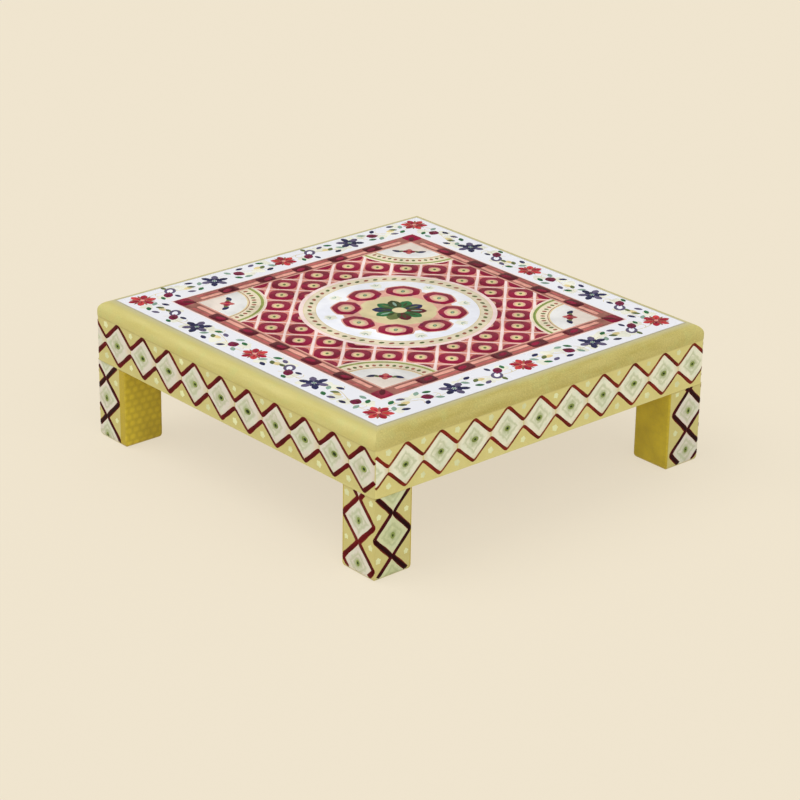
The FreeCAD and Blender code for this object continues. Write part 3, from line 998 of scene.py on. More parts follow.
class TABLE_OT_frame(Operator):
    """Paint the square frame: lines, red and salmon bars, and dark blocks"""
    bl_idname = "table.frame"
    bl_label = "Frame"

    def execute(self, context):
        s = sizes()
        palette = Palette(place_on_top())
        outer, inner, pitch = s.frame_half, s.frame_inner, s.block_pitch
        band = outer - inner
        for paint, outside, inside, coats, chamfer in (
                ("pink", outer + 0.9 * MM, outer - 0.5 * MM, 2, 0.12),
                ("brick", outer, inner, 3.4, 0.02),
                ("rose", inner + 0.15 * band, inner, 4, 0.2)):
            palette.lay(paint, ring(square(outside), square(inside), level(coats), level(-2), chamfer))
        blocks = int(inner // pitch)
        block_length = 14.5 * MM
        corner_room = 5.5 * MM
        block_middle = -inner - 0.54 * band
        # The two rows of bars: each one's middle and width as shares of the band, and its gap to the blocks.
        rows = (("crimson", 0.74, 0.30, 0.2 * MM), ("salmon", 0.40, 0.42, 0.5 * MM))
        ends = np.r_[0.8, np.ones(10), 0.8]
        for quarter in range(4):
            side = palette.beside(place_on_top(quarter * math.pi / 2))
            for step in range(-blocks, blocks + 1):
                centre = np.array([step * pitch, block_middle])
                side.coat("block", put(rounded_square(0.5, 6) * [block_length, 0.72 * band], centre), 4.8)
                patch = put(oval(9.5 * MM, 5.0 * MM), centre + [1.6 * MM * (-1) ** step, 0.6 * MM], 0.25)
                side.bead("maroon", patch, 4.8, 0.5)
            for step in range(-blocks - 1, blocks + 1):
                for paint, place_share, width_share, gap in rows:
                    middle = inner + place_share * band
                    start = max(step * pitch + block_length / 2 + gap, -middle + corner_room)
                    end = min((step + 1) * pitch - block_length / 2 - gap, middle - corner_room)
                    along = np.linspace(start, end, len(ends))
                    width = width_share * band * (1 + 0.1 * ripple(along, 0.013)) * ends
                    side.line(paint, np.c_[along, np.full(len(ends), -middle)], width, 4.5)
            corner = (block_middle, block_middle)
            side.coat("maroon", put(rounded_square(0.46 * band, 5), corner), 4.9)
            dark = put(oval(0.36 * band, 0.8 * band), np.add(corner, 0.16 * band), math.radians(-45))
            side.bead("block", dark, 4.9, 0.5)
        palette.finish("frame", "enamelled_sheet", paint_materials())
        return {"FINISHED"}


class TABLE_OT_fans(Operator):
    """Paint a quarter fan in each corner of the frame"""
    bl_idname = "table.fans"
    bl_label = "Corner fans"

    def execute(self, context):
        palette = Palette(place_on_top())
        # One fan's arc is a stronger green than the other three's.
        for quarter, arc_paint in enumerate(("arc_green", "arc_green", "green", "arc_green")):
            side = palette.beside(place_on_top(quarter * math.pi / 2))
            self.fan(side, -sizes().frame_inner, sizes().fan, arc_paint)
        palette.finish("fan", "enamelled_sheet", paint_materials())
        return {"FINISHED"}

    def fan(self, side, corner, radius, arc_paint):
        """Arcs about the frame's corner, seeds between them, and a small flower on the diagonal."""
        middle = np.array([corner, corner])
        under = 0.6 * MM

        def arc(share):
            """An arc from one side of the corner to the other, its ends a little under the frame."""
            return arc_path(middle, radius * share, -0.7, 90.7, 28)

        for paint, share, coats in (("cream", 1.0, 2.7), ("fan_white", 0.71, 3.1), ("fan_cream", 0.46, 3.3)):
            side.coat(paint, np.concatenate([arc(share), [middle - under]]), coats)
        arcs = (("pink", 0.99, 1.2), ("arc_green", 0.93, 4.2), (arc_paint, 0.935, 1.8),
                ("russet", 0.735, 0.9), ("gold", 0.715, 1.2))
        for index, (paint, share, width_mm) in enumerate(arcs):
            side.line(paint, arc(share), width_mm * MM, 3.4 + 0.1 * index)
        for index, angle in enumerate(np.linspace(5, 85, 13)):
            seed = arc_path(middle, radius * 0.81, angle, angle, 1)[0]
            outline = put(oval(4.0 * MM, 3.0 * MM, 8), seed, math.radians(angle))
            side.bead(("russet", "olive")[index % 2], outline, 2.7)
        self.flower(side, middle + 14.0 * MM)

    def flower(self, side, middle):
        """Four blunt petals in red and maroon, and a navy and a green leaf each way across the diagonal."""
        for index, angle in enumerate(np.radians([45, 135, 225, 315])):
            petal = put(leaf(7.0 * MM, 5.4 * MM), middle + 2.2 * MM * heading(angle), angle)
            side.bead(("crimson", "maroon")[index % 2], petal, 3.3)
        side.bead("coral", put(oval(2.6 * MM, 2.6 * MM, 8), middle), 4.1, 0.6)
        for way in (-1, 1):
            angle = math.radians(45 + way * 90)
            for paint, far, lean, size in (("navy", 9.0, 0.4, 8.6), ("olive", 6.2, -0.5, 6.4)):
                place = middle + far * MM * heading(angle)
                side.bead(paint, put(leaf(size * MM, 0.52 * size * MM), place, angle + way * lean), 3.3)


class TABLE_OT_medallion(Operator):
    """Paint the round medallion: rings, eight hexagons and the green flower"""
    bl_idname = "table.medallion"
    bl_label = "Medallion"

    def execute(self, context):
        palette = Palette(place_on_top())
        radius = sizes().medallion
        # The hexagons and the flower stand a little off the rings' middle, as they were painted by hand.
        middle = np.array([0.7, 0.8]) * MM
        for paint, share, coats in (("pink", 1.0, 3.2), ("cream", 0.955, 3.4), ("white", 0.825, 3.6),
                                    ("rose", 0.575, 3.7), ("disc", 0.40, 3.8)):
            palette.coat(paint, oval(2 * radius * share, 2 * radius * share, 96), coats)
        circle = oval(2, 2, 96)
        for paint, share in (("gold", 0.95), ("gold", 0.828), ("rose", 0.40)):
            palette.line(paint, radius * share * circle, 1.0 * MM, 3.95, closed=True)
        for index, angle in enumerate(spread(56)):
            seed = put(oval(3.2 * MM, 4.6 * MM, 10), 0.888 * radius * heading(angle), angle + 0.5)
            palette.bead(("olive", "russet")[index % 2], seed, 3.4)
        for angle in spread(8):
            self.hexagon_motif(palette, angle, middle + 0.534 * radius * heading(angle))
            self.sprig(palette, angle + math.pi / 8, 0.70 * radius)
        self.flower(palette, middle, 19.5 * MM)
        palette.finish("medallion", "enamelled_sheet", paint_materials())
        return {"FINISHED"}

    def hexagon_motif(self, palette, angle, place):
        """Maroon hexagon, wider than long, round a gold middle with a rose rim and a green seed."""
        for paint, radius, softness, coats in (("rose", 14.5, 0.5, 4.1), ("maroon", 13.1, 0.5, 4.3),
                                               ("rose", 7.8, 0.6, 4.6), ("disc", 5.3, 0.7, 4.7)):
            palette.coat(paint, put(hexagon(radius * MM, softness) * [0.84, 1.05], place, angle), coats)
        for way, share in ((-1, 0.9), (1, 0.7)):
            at = angle + math.pi + way * share
            dark = put(oval(3.0 * MM, 6.4 * MM, 10), place + 9.4 * MM * heading(at), at)
            palette.bead("magenta", dark, 4.3, 0.5)
        palette.bead("olive", put(oval(5.0 * MM, 3.4 * MM, 10), place, 2.2), 4.7, 0.5)
        palette.bead("sage", put(oval(3.2 * MM, 1.8 * MM, 8), place, 2.2), 5.0, 0.5)

    def sprig(self, palette, angle, distance):
        """Faint pale leaves on a faint wash, in the white outside two hexagons."""
        place = distance * heading(angle)
        palette.bead("wash", put(blossom(4.8 * MM, 5, 0.15), place, angle), 3.6, 0.3, 0.95)
        for turn in (-0.8, 0.0, 0.8):
            ahead = angle + turn
            tip = place + 2.0 * MM * heading(ahead)
            palette.bead("wash", put(leaf(7.4 * MM, 3.6 * MM), tip, ahead), 3.9, 0.25 + 0.05 * turn, 0.95)
            palette.bead("sage", put(leaf(4.4 * MM, 0.9 * MM), tip, ahead), 4.1, 0.4)

    def flower(self, palette, middle, reach):
        """Ten broad petals, green and dark by turns over a dark middle, round a pale eye."""
        palette.coat("olive", put(oval(1.5 * reach, 1.5 * reach, 24), middle), 4.0)
        paints = ("green", "block", "navy", "green", "dark_green",
                  "green", "navy", "green", "olive", "block")
        for index, angle in enumerate(spread(10) + 0.2):
            out = middle + heading(angle) * reach * 0.62
            palette.bead(paints[index], put(leaf(reach * 0.80, reach * 0.50, 14, 0.35), out, angle), 4.0)
            vein = put(leaf(reach * 0.5, reach * 0.14, 10), out, angle)
            palette.bead(("dark_green", "sage", "olive")[index % 3], vein, 4.7, 0.7)
            between = angle + math.pi / 10
            gap = put(leaf(reach * 0.5, reach * 0.2, 10), middle + heading(between) * reach * 0.5, between)
            palette.bead("dark_green", gap, 4.5, 0.6)
        palette.bead("disc", put(oval(0.54 * reach, 0.54 * reach, 16), middle), 5.0, 0.8, 0.9)


class TABLE_OT_border(Operator):
    """Paint the border of flowers, curled buds and leaves along the edge of the top"""
    bl_idname = "table.border"
    bl_label = "Flower border"

    def execute(self, context):
        line = sizes().border_line
        palette = Palette(place_on_top())
        # Motifs along half a side, by their share of it; the second half repeats the first.
        leafy = ((self.leaves, 0.135), (self.curl, 0.285), (self.star_flower, 0.50), (self.leaves, 0.645),
                 (self.bud, 0.82))
        budding = ((self.leaves, 0.145), (self.bud, 0.325), (self.star_flower, 0.505), (self.leaves, 0.65),
                   (self.curl, 0.815))
        for quarter in range(4):
            side = palette.beside(place_on_top(quarter * math.pi / 2))
            self.stems(side, line)
            for half in (0, 1):
                start = (half - 1) * line
                self.red_flower(side, (start, -line), 10.8 - 0.6 * half)
                for index, (motif, share) in enumerate((leafy, budding)[quarter % 2]):
                    lift = 0.9 * MM * math.sin(7.0 * share + half + quarter)
                    middle = np.array([start + share * line, -line + lift])
                    self.wash(side, middle, index)
                    # A curl is turned by the side that it is on, and the others by their place along it.
                    motif(side, middle, quarter if motif == self.curl else index + half + quarter)
        palette.finish("border", "enamelled_sheet", paint_materials())
        return {"FINISHED"}

    def wash(self, side, middle, index):
        """Faint greenish wash in two blotches beside a motif."""
        for along, across in ((8.0, 4.5), (-5.0, -5.5)):
            spot = middle + [along * MM, across * (-1) ** index * MM]
            # No two blotches that meet lie at one height.
            coats = 0.3 + 0.06 * index + (0.03 if along > 0 else 0.0)
            side.coat("wash", put(blossom(5.6 * MM, 3, 0.2), spot, index), coats)

    def stems(self, side, line):
        """A thin gold stem that swings about the middle line between the flowers, with curls along it."""
        swing, width, curl = 4.2 * MM, 0.6 * MM, 3.4 * MM
        turns = 2 * math.pi / (line / 2)
        along = np.linspace(-line + 8 * MM, line - 8 * MM, 160)
        side.line("gold", np.c_[along, -line + swing * np.sin(turns * along)], width, 0.9)
        for step in range(-7, 8):
            at = step * line / 8
            up = 1 if step % 2 else -1
            middle = (at, -line + swing * math.sin(turns * at) + up * curl)
            side.line("gold", arc_path(middle, curl, -90 * up, 70 * up, 10), width, 0.8)

    def petals(self, side, middle, count, size, width, paints, coats, turn):
        """Petals evenly round a middle, in each paint by turns; size and width in millimetres."""
        for index, angle in enumerate(spread(count) + turn):
            place = middle + 0.56 * size * MM * heading(angle)
            outline = put(leaf(0.9 * size * MM, width * MM, 12, 0.3), place, angle)
            side.dab(paints[index % len(paints)], outline, coats)

    def leaf_at(self, side, paint, middle, along, across, angle, size=7.6):
        """One leaf, a little more than half as wide as it is long, beside a motif's middle."""
        outline = put(leaf(size * MM, 0.56 * size * MM), middle + np.array([along, across]) * MM, angle)
        side.dab(paint, outline, 3)

    def red_flower(self, side, middle, size):
        """Six petals, red and bright red by turns, with darker veins, russet tips between and a pale eye."""
        side.dab("red", put(oval(5.4 * MM, 5.4 * MM), middle), 2.8)
        for share, width, paints, coats, turn in ((1.0, 5.6, ("red", "coral"), 3.0, 0.26),
                                                  (0.8, 2.0, ("maroon", "red"), 3.4, 0.26),
                                                  (0.9, 2.0, ("russet",), 2.6, 0.78)):
            self.petals(side, middle, 6, share * size, width, paints, coats, turn)
        side.bead("salmon", put(oval(3.2 * MM, 3.2 * MM), middle), 3.2)

    def star_flower(self, side, middle, index):
        """Three navy and three dusky petals by turns, six small ones between, and a pale green eye."""
        for count, size, width, paint, coats, turn in ((3, 11.0, 5.8, "dusk", 3.0, 1.05),
                                                       (3, 11.4, 5.4, "navy", 3.4, 0.0),
                                                       (6, 6.0, 3.0, "navy", 3.2, 0.52)):
            self.petals(side, middle, count, size, width, (paint,), coats, 0.5 * index + turn)
        side.bead("sage", put(oval(2.6 * MM, 2.6 * MM), middle), 3.3)

    def curl(self, side, middle, quarter):
        """A navy ring round a white eye, run into a magenta bud, with leaves at both ends."""
        turn = math.radians((135, -135)[quarter % 2])
        ahead = heading(turn)
        beside = np.array([-ahead[1], ahead[0]])
        angles = spread(20)[:, None]
        eye = middle + 3.6 * MM * ahead
        side.coat("white", put(oval(9.0 * MM, 6.0 * MM), eye, turn), 0.8)
        path = eye + 4.6 * MM * np.cos(angles) * ahead + 3.1 * MM * np.sin(angles) * beside
        side.line("dusk", path, (2.6 + 0.7 * np.cos(angles[:, 0])) * MM, 3, closed=True)
        side.dab("magenta", put(leaf(12.5 * MM, 7.6 * MM, 14, -0.2), middle - 4.0 * MM * ahead, turn), 3.3)
        side.dab("block", put(oval(5.6 * MM, 3.0 * MM, 10), middle - 4.4 * MM * ahead, turn), 3.7)
        for paint, far, off, lean in (("green", -11.0, 2.6, 0.5), ("navy", -5.0, -7.0, 0.9),
                                      ("olive", 8.0, 5.4, 0.7)):
            self.leaf_at(side, paint, middle, *(far * ahead + off * beside), turn + lean, 6.8)

    def bud(self, side, middle, index):
        """A magenta bud with a dark cheek, between green, navy and pale leaves."""
        lean = (0.35, -0.35)[index % 2]
        side.dab("magenta", put(leaf(10.4 * MM, 9.0 * MM, 14, 0.2), middle, lean - math.pi / 4), 3.4)
        side.dab("block", put(oval(5.4 * MM, 3.6 * MM, 10), middle + 0.8 * MM, lean), 3.8)
        for paint, along, across, angle in (("green", 4.8, 6.2, -0.6), ("navy", -5.4, -7.0, 0.4),
                                            ("sage", -2.6, 8.2, 0.3), ("sage", 6.6, -5.4, -0.9)):
            self.leaf_at(side, paint, middle, along, across, angle + lean)

    def leaves(self, side, middle, index):
        """Leaves about the stem and a gold spot, every other time swapped across the stem."""
        swap = 1 if index % 2 else -1
        side.dab("gold", put(oval(8.6 * MM, 5.0 * MM), middle + [5.0 * MM, 0.0]), 1.6)
        for paint, along, across, angle in (("green", -1.6, 6.6, 0.5), ("olive", 1.6, -0.8, -0.6),
                                            ("navy", -0.8, -7.4, -0.3), ("sage", -6.6, -2.2, 0.9),
                                            ("dusk", 6.4, 6.6, -0.4)):
            self.leaf_at(side, paint, middle, along, swap * across, angle * swap)


# Embossed foils


def scales(along, up, pitch):
    """Pressed scales, 0 at their rims and 1 at their crowns: staggered rows of round-topped cells.

    Each row is 0.8 of a pitch tall and shifted by half a cell from the next; a cell's height is the
    product of half sines across and up it, to the power 1.3.
    """
    row = np.floor(up / (0.8 * pitch))
    across = (along / pitch + 0.5 * (row % 2)) % 1.0
    rise = (up / (0.8 * pitch)) % 1.0
    return (np.sin(math.pi * across) * np.sin(math.pi * rise)) ** 1.3


def beads(along, up, pitch):
    """Pressed beads, 1 at their crowns and 0 between: half of one plus a sine along times a sine up."""
    return 0.5 + 0.5 * np.sin(2 * math.pi * along / pitch) * np.sin(2 * math.pi * up / pitch)


class TABLE_OT_edge_foils(Operator):
    """Press the four foils over the rounded edge, with rows of small beads"""
    bl_idname = "table.edge_foils"
    bl_label = "Edge foils"

    def execute(self, context):
        c = colours()
        # Painted light and shade: one foil, as a lit copy for the front and left and a darker, shaded copy
        # for the right and back.
        name = "Edge foil, gold lacquer"
        bright = edge_foil_metal(name, c.edge_foil, linear("#C3B868"), 0.14, 0.5)
        name = "Edge foil, deeper gold lacquer"
        painted_shade_copy = edge_foil_metal(name, c.edge_foil_deep, linear("#B2A450"), 0.3, 0.0)
        foils = {"front": bright, "right": painted_shade_copy, "back": painted_shade_copy, "left": bright}
        for name, side in SIDES.items():
            make_piece("edge_foil_dress_" + name, [self.foil(side)], foils[name],
                       ["edge_foil_" + name])
        return {"FINISHED"}

    def foil(self, side):
        """The round's profile carried along a side: out and down over the edge, and back up behind.

        The front point at an angle a from the top is (centre + r sin a, centre + r cos a), the relief
        draws it in along its radius, and the plan corner fades from sharp at the top to round below.
        """
        radius = SKIRT_FACE - SHEET_HALF
        centre_up = EDGE_HIGH - radius
        angles = np.radians(np.linspace(0, 90, 26))
        out = np.r_[SHEET_HALF + radius * np.sin(angles), SKIRT_FACE, SKIRT_FACE]
        up = np.r_[centre_up + radius * np.cos(angles), (centre_up + SKIRT_HIGH) / 2, SKIRT_HIGH]
        lean = np.r_[angles, math.pi / 2, math.pi / 2]
        run = np.r_[radius * angles, radius * math.pi / 2 + centre_up - up[26:]]
        back_out = np.r_[WOOD_FACE, SHEET_HALF + (radius - FOIL) * np.sin(angles[::-5])]
        back_up = np.r_[SKIRT_HIGH, centre_up + (radius - FOIL) * np.cos(angles[::-5])]
        stations = 520
        share = np.linspace(-1, 1, stations)[:, None]
        along = share * side_length(SKIRT_FACE, sizes().corner_round)
        # The relief fades out over 1.5 mm at both long edges, and over the last 3% before the mitres.
        fade = np.clip(np.minimum(run - 0.6 * MM, run[-1] - run) / (1.5 * MM), 0, 1)
        fade = fade * np.clip((1 - np.abs(share)) / 0.03, 0, 1)
        patchy = 0.6 + 0.4 * ripple(along + 2 * run, 0.031, 0.047)
        height = 1 - (1 - beads(along, run - 1.0 * MM, sizes().bead_pitch)) * patchy
        bead_depth, waver_depth = 0.07 * MM, 0.06 * MM
        waver = waver_depth * (1 + ripple(along, 0.11, 0.043, 0.019))
        depth = bead_depth * (1 - height) * fade + waver
        behind = np.ones((stations, len(back_out)))
        front = self.plan(side, out - depth * np.sin(lean), up - depth * np.cos(lean), share)
        points = np.concatenate([front, self.plan(side, back_out * behind, back_up * behind, share)], 1)
        shown = np.concatenate([1 - (1 - height) * fade, behind], 1)
        run = np.r_[run, run[-1] + np.arange(len(back_out)) * MM]
        return tube(points, np.stack(np.broadcast_arrays(along, run, shown), -1))

    def plan(self, side, out, up, share):
        """Points of the foil at each distance from the middle and height.

        The corner is sharp on the upper part of the round and turns round only near its lower edge,
        by the fourth power of the distance out.
        """
        corner = sizes().corner_round
        low_share = np.clip((out - SKIRT_FACE + corner) / corner, 0, 1)
        x, y = side_curve(out, corner * low_share ** 4, share)
        return np.stack([*turned(x, y, side), up], -1)


class StripPainter(Palette):
    """Paints the zigzag and diamond strip in its own coordinates, a along it and b across it.

    The strip fills the box from low to high. Its pools are sliced along the one of the two
    directions that goes round the table's corners. heavy is 1 where the lines that rise to the
    right are laid thick, and -1 where the falling ones are.
    """
    # How deep all paint reaches into the foil's ground, and how high each kind of shape stands over it.
    under, star_high, pool_high, rim_high, core_high = (mm * MM for mm in (-0.1, 0.06, 0.14, 0.20, 0.25))

    def __init__(self, place, low, high, crosswise, heavy):
        super().__init__(place)
        s = sizes()
        self.low, self.high, self.crosswise = np.array(low), np.array(high), crosswise
        self.heavy = -heavy if crosswise else heavy
        self.repeat, self.peak = s.repeat, s.diamond_half
        self.neck = s.leg_neck_half if crosswise else s.neck_half
        self.line_width = s.leg_line_width if crosswise else s.line_width
        self.thin = s.leg_thin_share if crosswise else s.thin_share

    def drop(self, paint, outline, middle, top, rim):
        """A drop of paint, cut at the strip's edges, where its middle is well inside the strip."""
        margin = 0.8 * MM
        if (middle < self.low + margin).any() or (middle > self.high - margin).any():
            return
        outline = cut(put(outline, middle), self.low, self.high)
        if outline is not None:
            self.lay(paint, dab(outline, top, self.under, rim))

    def wave_height(self, a):
        """Height of the upper line over the middle: a rounded triangle, the arcsine of 0.97 of a cosine."""
        wave = np.arcsin(0.97 * np.cos(2 * math.pi * a / self.repeat)) / math.asin(0.97)
        return (self.peak + self.neck) / 2 + (self.peak - self.neck) / 2 * wave

    def wave_reach(self, b):
        """How far from a diamond's middle the upper line is at a height: wave_height turned round."""
        wave = (b - (self.peak + self.neck) / 2) / ((self.peak - self.neck) / 2)
        cosine = np.sin(np.clip(wave, -1, 1) * math.asin(0.97)) / 0.97
        return self.repeat / (2 * math.pi) * np.arccos(np.clip(cosine, -1, 1))

    def zigzag(self, paint, phase, sign, seed):
        """One of the two lines: thick where it runs one way and thin the other, a little uneven by hand."""
        foot_gap, spacing, wobble = 1.3 * MM, 0.7 * MM, 0.3 * MM
        start = self.low[0] + (foot_gap if self.crosswise else 0.0)
        a = np.linspace(start, self.high[0], max(int((self.high[0] - start) / spacing), 12))
        b = sign * self.wave_height(a - phase) + wobble * ripple(a + seed, 0.041, 0.067)
        laden = 0.5 + 0.5 * np.tanh(3 * self.heavy * np.gradient(b, a))
        width = self.line_width * (self.thin + (1 - self.thin) * laden)
        width = width * (1 + 0.14 * ripple(a - seed, 0.017, 0.029, 0.0083))
        top = sizes().relief - 0.02 * MM
        inside = (b > self.low[1]) & (b < self.high[1])
        for run in np.split(np.arange(len(a)), np.flatnonzero(np.diff(inside.astype(int))) + 1):
            if inside[run[0]] and len(run) > 3:
                points, faces, pattern = stroke(np.c_[a, b][run], width[run], top, self.under)
                # Each row of the stroke has five points; all five carry how thick it is laid there.
                self.lay(paint, (points, faces, np.c_[pattern, np.repeat(laden[run], 5)]))

    def diamond(self, paint, middle, glow):
        """White pool between the two lines, from neck to neck; its glow sits off its middle by a little."""
        neck = self.repeat / 2 - 0.4 * MM
        if self.crosswise:
            stations = np.linspace(max(-self.peak, self.low[1]), min(self.peak, self.high[1]), 30)
            reach = np.minimum(self.wave_reach(np.abs(stations)), neck)
            low, high = np.maximum(middle - reach, self.low[0]), np.minimum(middle + reach, self.high[0])
        else:
            stations = np.linspace(max(middle - neck, self.low[0]), min(middle + neck, self.high[0]), 30)
            reach = self.wave_height(stations - middle)
            low, high = np.maximum(-reach, self.low[1]), np.minimum(reach, self.high[1])
        filled = high - low > 0.4 * MM
        if filled.sum() > 2 and np.ptp(stations[filled]) > 1 * MM:
            points, faces, pattern = pool(stations[filled], low[filled], high[filled], self.pool_high,
                                          self.under, self.crosswise)
            self.lay(paint, (points, faces, pattern - [middle + glow, 0.0]))

    def paint(self, phase, line_paint, ground, seed, glow, core_scale):
        """Both zigzag lines, the diamonds between them with their cores, and a star in each notch."""
        self.zigzag(line_paint, phase, 1, seed)
        self.zigzag(line_paint, phase, -1, seed + 0.02)
        first = math.floor((self.low[0] - phase) / self.repeat) - 1
        last = math.ceil((self.high[0] - phase) / self.repeat) + 1
        for step in range(first, last + 1):
            middle = phase + step * self.repeat
            drift = 0.7 * MM * math.sin(5.1 * step + 80 * seed)
            if self.low[0] - self.repeat / 2 < middle < self.high[0] + self.repeat / 2:
                self.diamond(ground, middle, glow)
            across, up = (8.0 + 0.9 * math.sin(step * 2.3)) * core_scale * MM, 5.8 * core_scale * MM
            self.drop("leaf_green", oval(across, up, 14), (middle + drift, drift / 2), self.rim_high, 0.8)
            dark = oval(across, up) * (0.55 * core_scale + 0.07 * math.sin(1.9 * step + 50 * seed))
            self.drop("dark_green", dark, (middle + 1.1 * drift, drift / 2), self.core_high, 0.75)
            for sign in (-1, 1):
                spot = (middle + self.repeat / 2, sign * (self.peak - 2.6 * MM))
                self.drop("star", blossom(3.8 * MM, 5, 0.16), spot, self.star_high, 0.5)


class TABLE_OT_skirt_foils(Operator):
    """Press the four skirt foils with their hems, and paint the strip on them"""
    bl_idname = "table.skirt_foils"
    bl_label = "Skirt foils"

    def execute(self, context):
        s = sizes()
        base, deep = colours().strip_foil, linear("#C6BA6A")
        foil = pressed_foil("Strip foil, gold lacquer", base, deep, 0.12, 0.55)
        # Painted light: the right and back get a lighter copy of the strip foil, standing in for light that
        # falls there.
        base, deep = shade(base, 1.13), shade(deep, 1.13)
        pale = pressed_foil("Strip foil, pale gold lacquer", base, deep, 0.12, 0.55)
        # Each side's foil. Where the diamond nearest the side's middle stands, to the right of that
        # middle; the line's paint, its width's share and which way it is laid thick; how far the diamonds'
        # glow sits off their middles; the diamonds' ground; and the size of their cores.
        strips = {"front": (foil, -6.9, "line_red", 1.08, 1, -2.0, "diamond", 0.95),
                  "right": (pale, -7.8, "line_rust", 0.80, -1, -0.4, "soft_diamond", 0.84),
                  "back": (pale, -6.5, "line_rust", 0.95, 1, 1.0, "soft_diamond", 0.9),
                  "left": (foil, -9.5, "line_red", 1.0, -1, -1.0, "diamond", 0.95)}
        # The painted strips end just short of the upright corners, where the foils are mitred.
        reach = side_length(SKIRT_FACE, s.corner_round) - 0.3 * MM
        low, high = (-reach, SKIRT_LOW - s.strip_middle), (reach, SKIRT_HIGH - s.strip_middle)
        paints = strip_materials()
        for name, side in SIDES.items():
            metal, phase_mm, line_paint, width_share, heavy, glow_mm, ground, core_scale = strips[name]
            make_piece("skirt_foil_dress_" + name, [self.foil(side)], metal,
                       ["skirt_foil_" + name])
            place = place_on_skirt(side)
            painter = StripPainter(lambda a, b, h, place=place: place(a, b + s.strip_middle, h), low, high,
                                   False, heavy)
            painter.line_width = painter.line_width * width_share
            painter.paint(phase_mm * MM, line_paint, ground, side * 0.3, glow_mm * MM, core_scale)
            painter.finish("skirt_" + name, "painted_foil", paints)
        return {"FINISHED"}

    def foil(self, side):
        """Down the face, round the lower edge, in along the hem, and back up behind."""
        s = sizes()
        fold = 0.4 * MM
        face = 46
        fold_angles = np.radians([22.5, 45, 67.5, 90])
        out = np.r_[np.full(face, SKIRT_FACE), SKIRT_FACE - fold * (1 - np.cos(fold_angles)),
                    np.linspace(SKIRT_FACE - 2 * MM, SKIRT_INNER, 5), SKIRT_INNER, WOOD_FACE, WOOD_FACE]
        up = np.r_[np.linspace(SKIRT_HIGH, SKIRT_LOW + fold, face),
                   SKIRT_LOW + fold * (1 - np.sin(fold_angles)),
                   np.full(5, SKIRT_LOW), SKIRT_LOW + FOIL, SKIRT_LOW + FOIL, SKIRT_HIGH]
        share = np.linspace(-1, 1, 400)[:, None]
        along = share * side_length(SKIRT_FACE, s.corner_round)
        # The last point of the face starts the fold, so it stays at the foil's full reach.
        on_face = np.arange(len(out)) < face - 1
        dent = 0.05 * MM
        rims = np.clip(np.minimum(SKIRT_HIGH - up, up - SKIRT_LOW) / (0.9 * MM), 0, 1)
        dents = s.relief * rims + dent * ripple(along * 1.3 + up * 2.1, 0.023, 0.037)
        out = out - on_face * np.clip(dents, 0, None)
        radius = np.clip(out - (SKIRT_FACE - s.corner_round), 0, None)
        x, y = turned(*side_curve(out, radius, share), side)
        points = np.stack(np.broadcast_arrays(x, y, up), -1)
        return tube(points, np.stack(np.broadcast_arrays(along, up), -1))


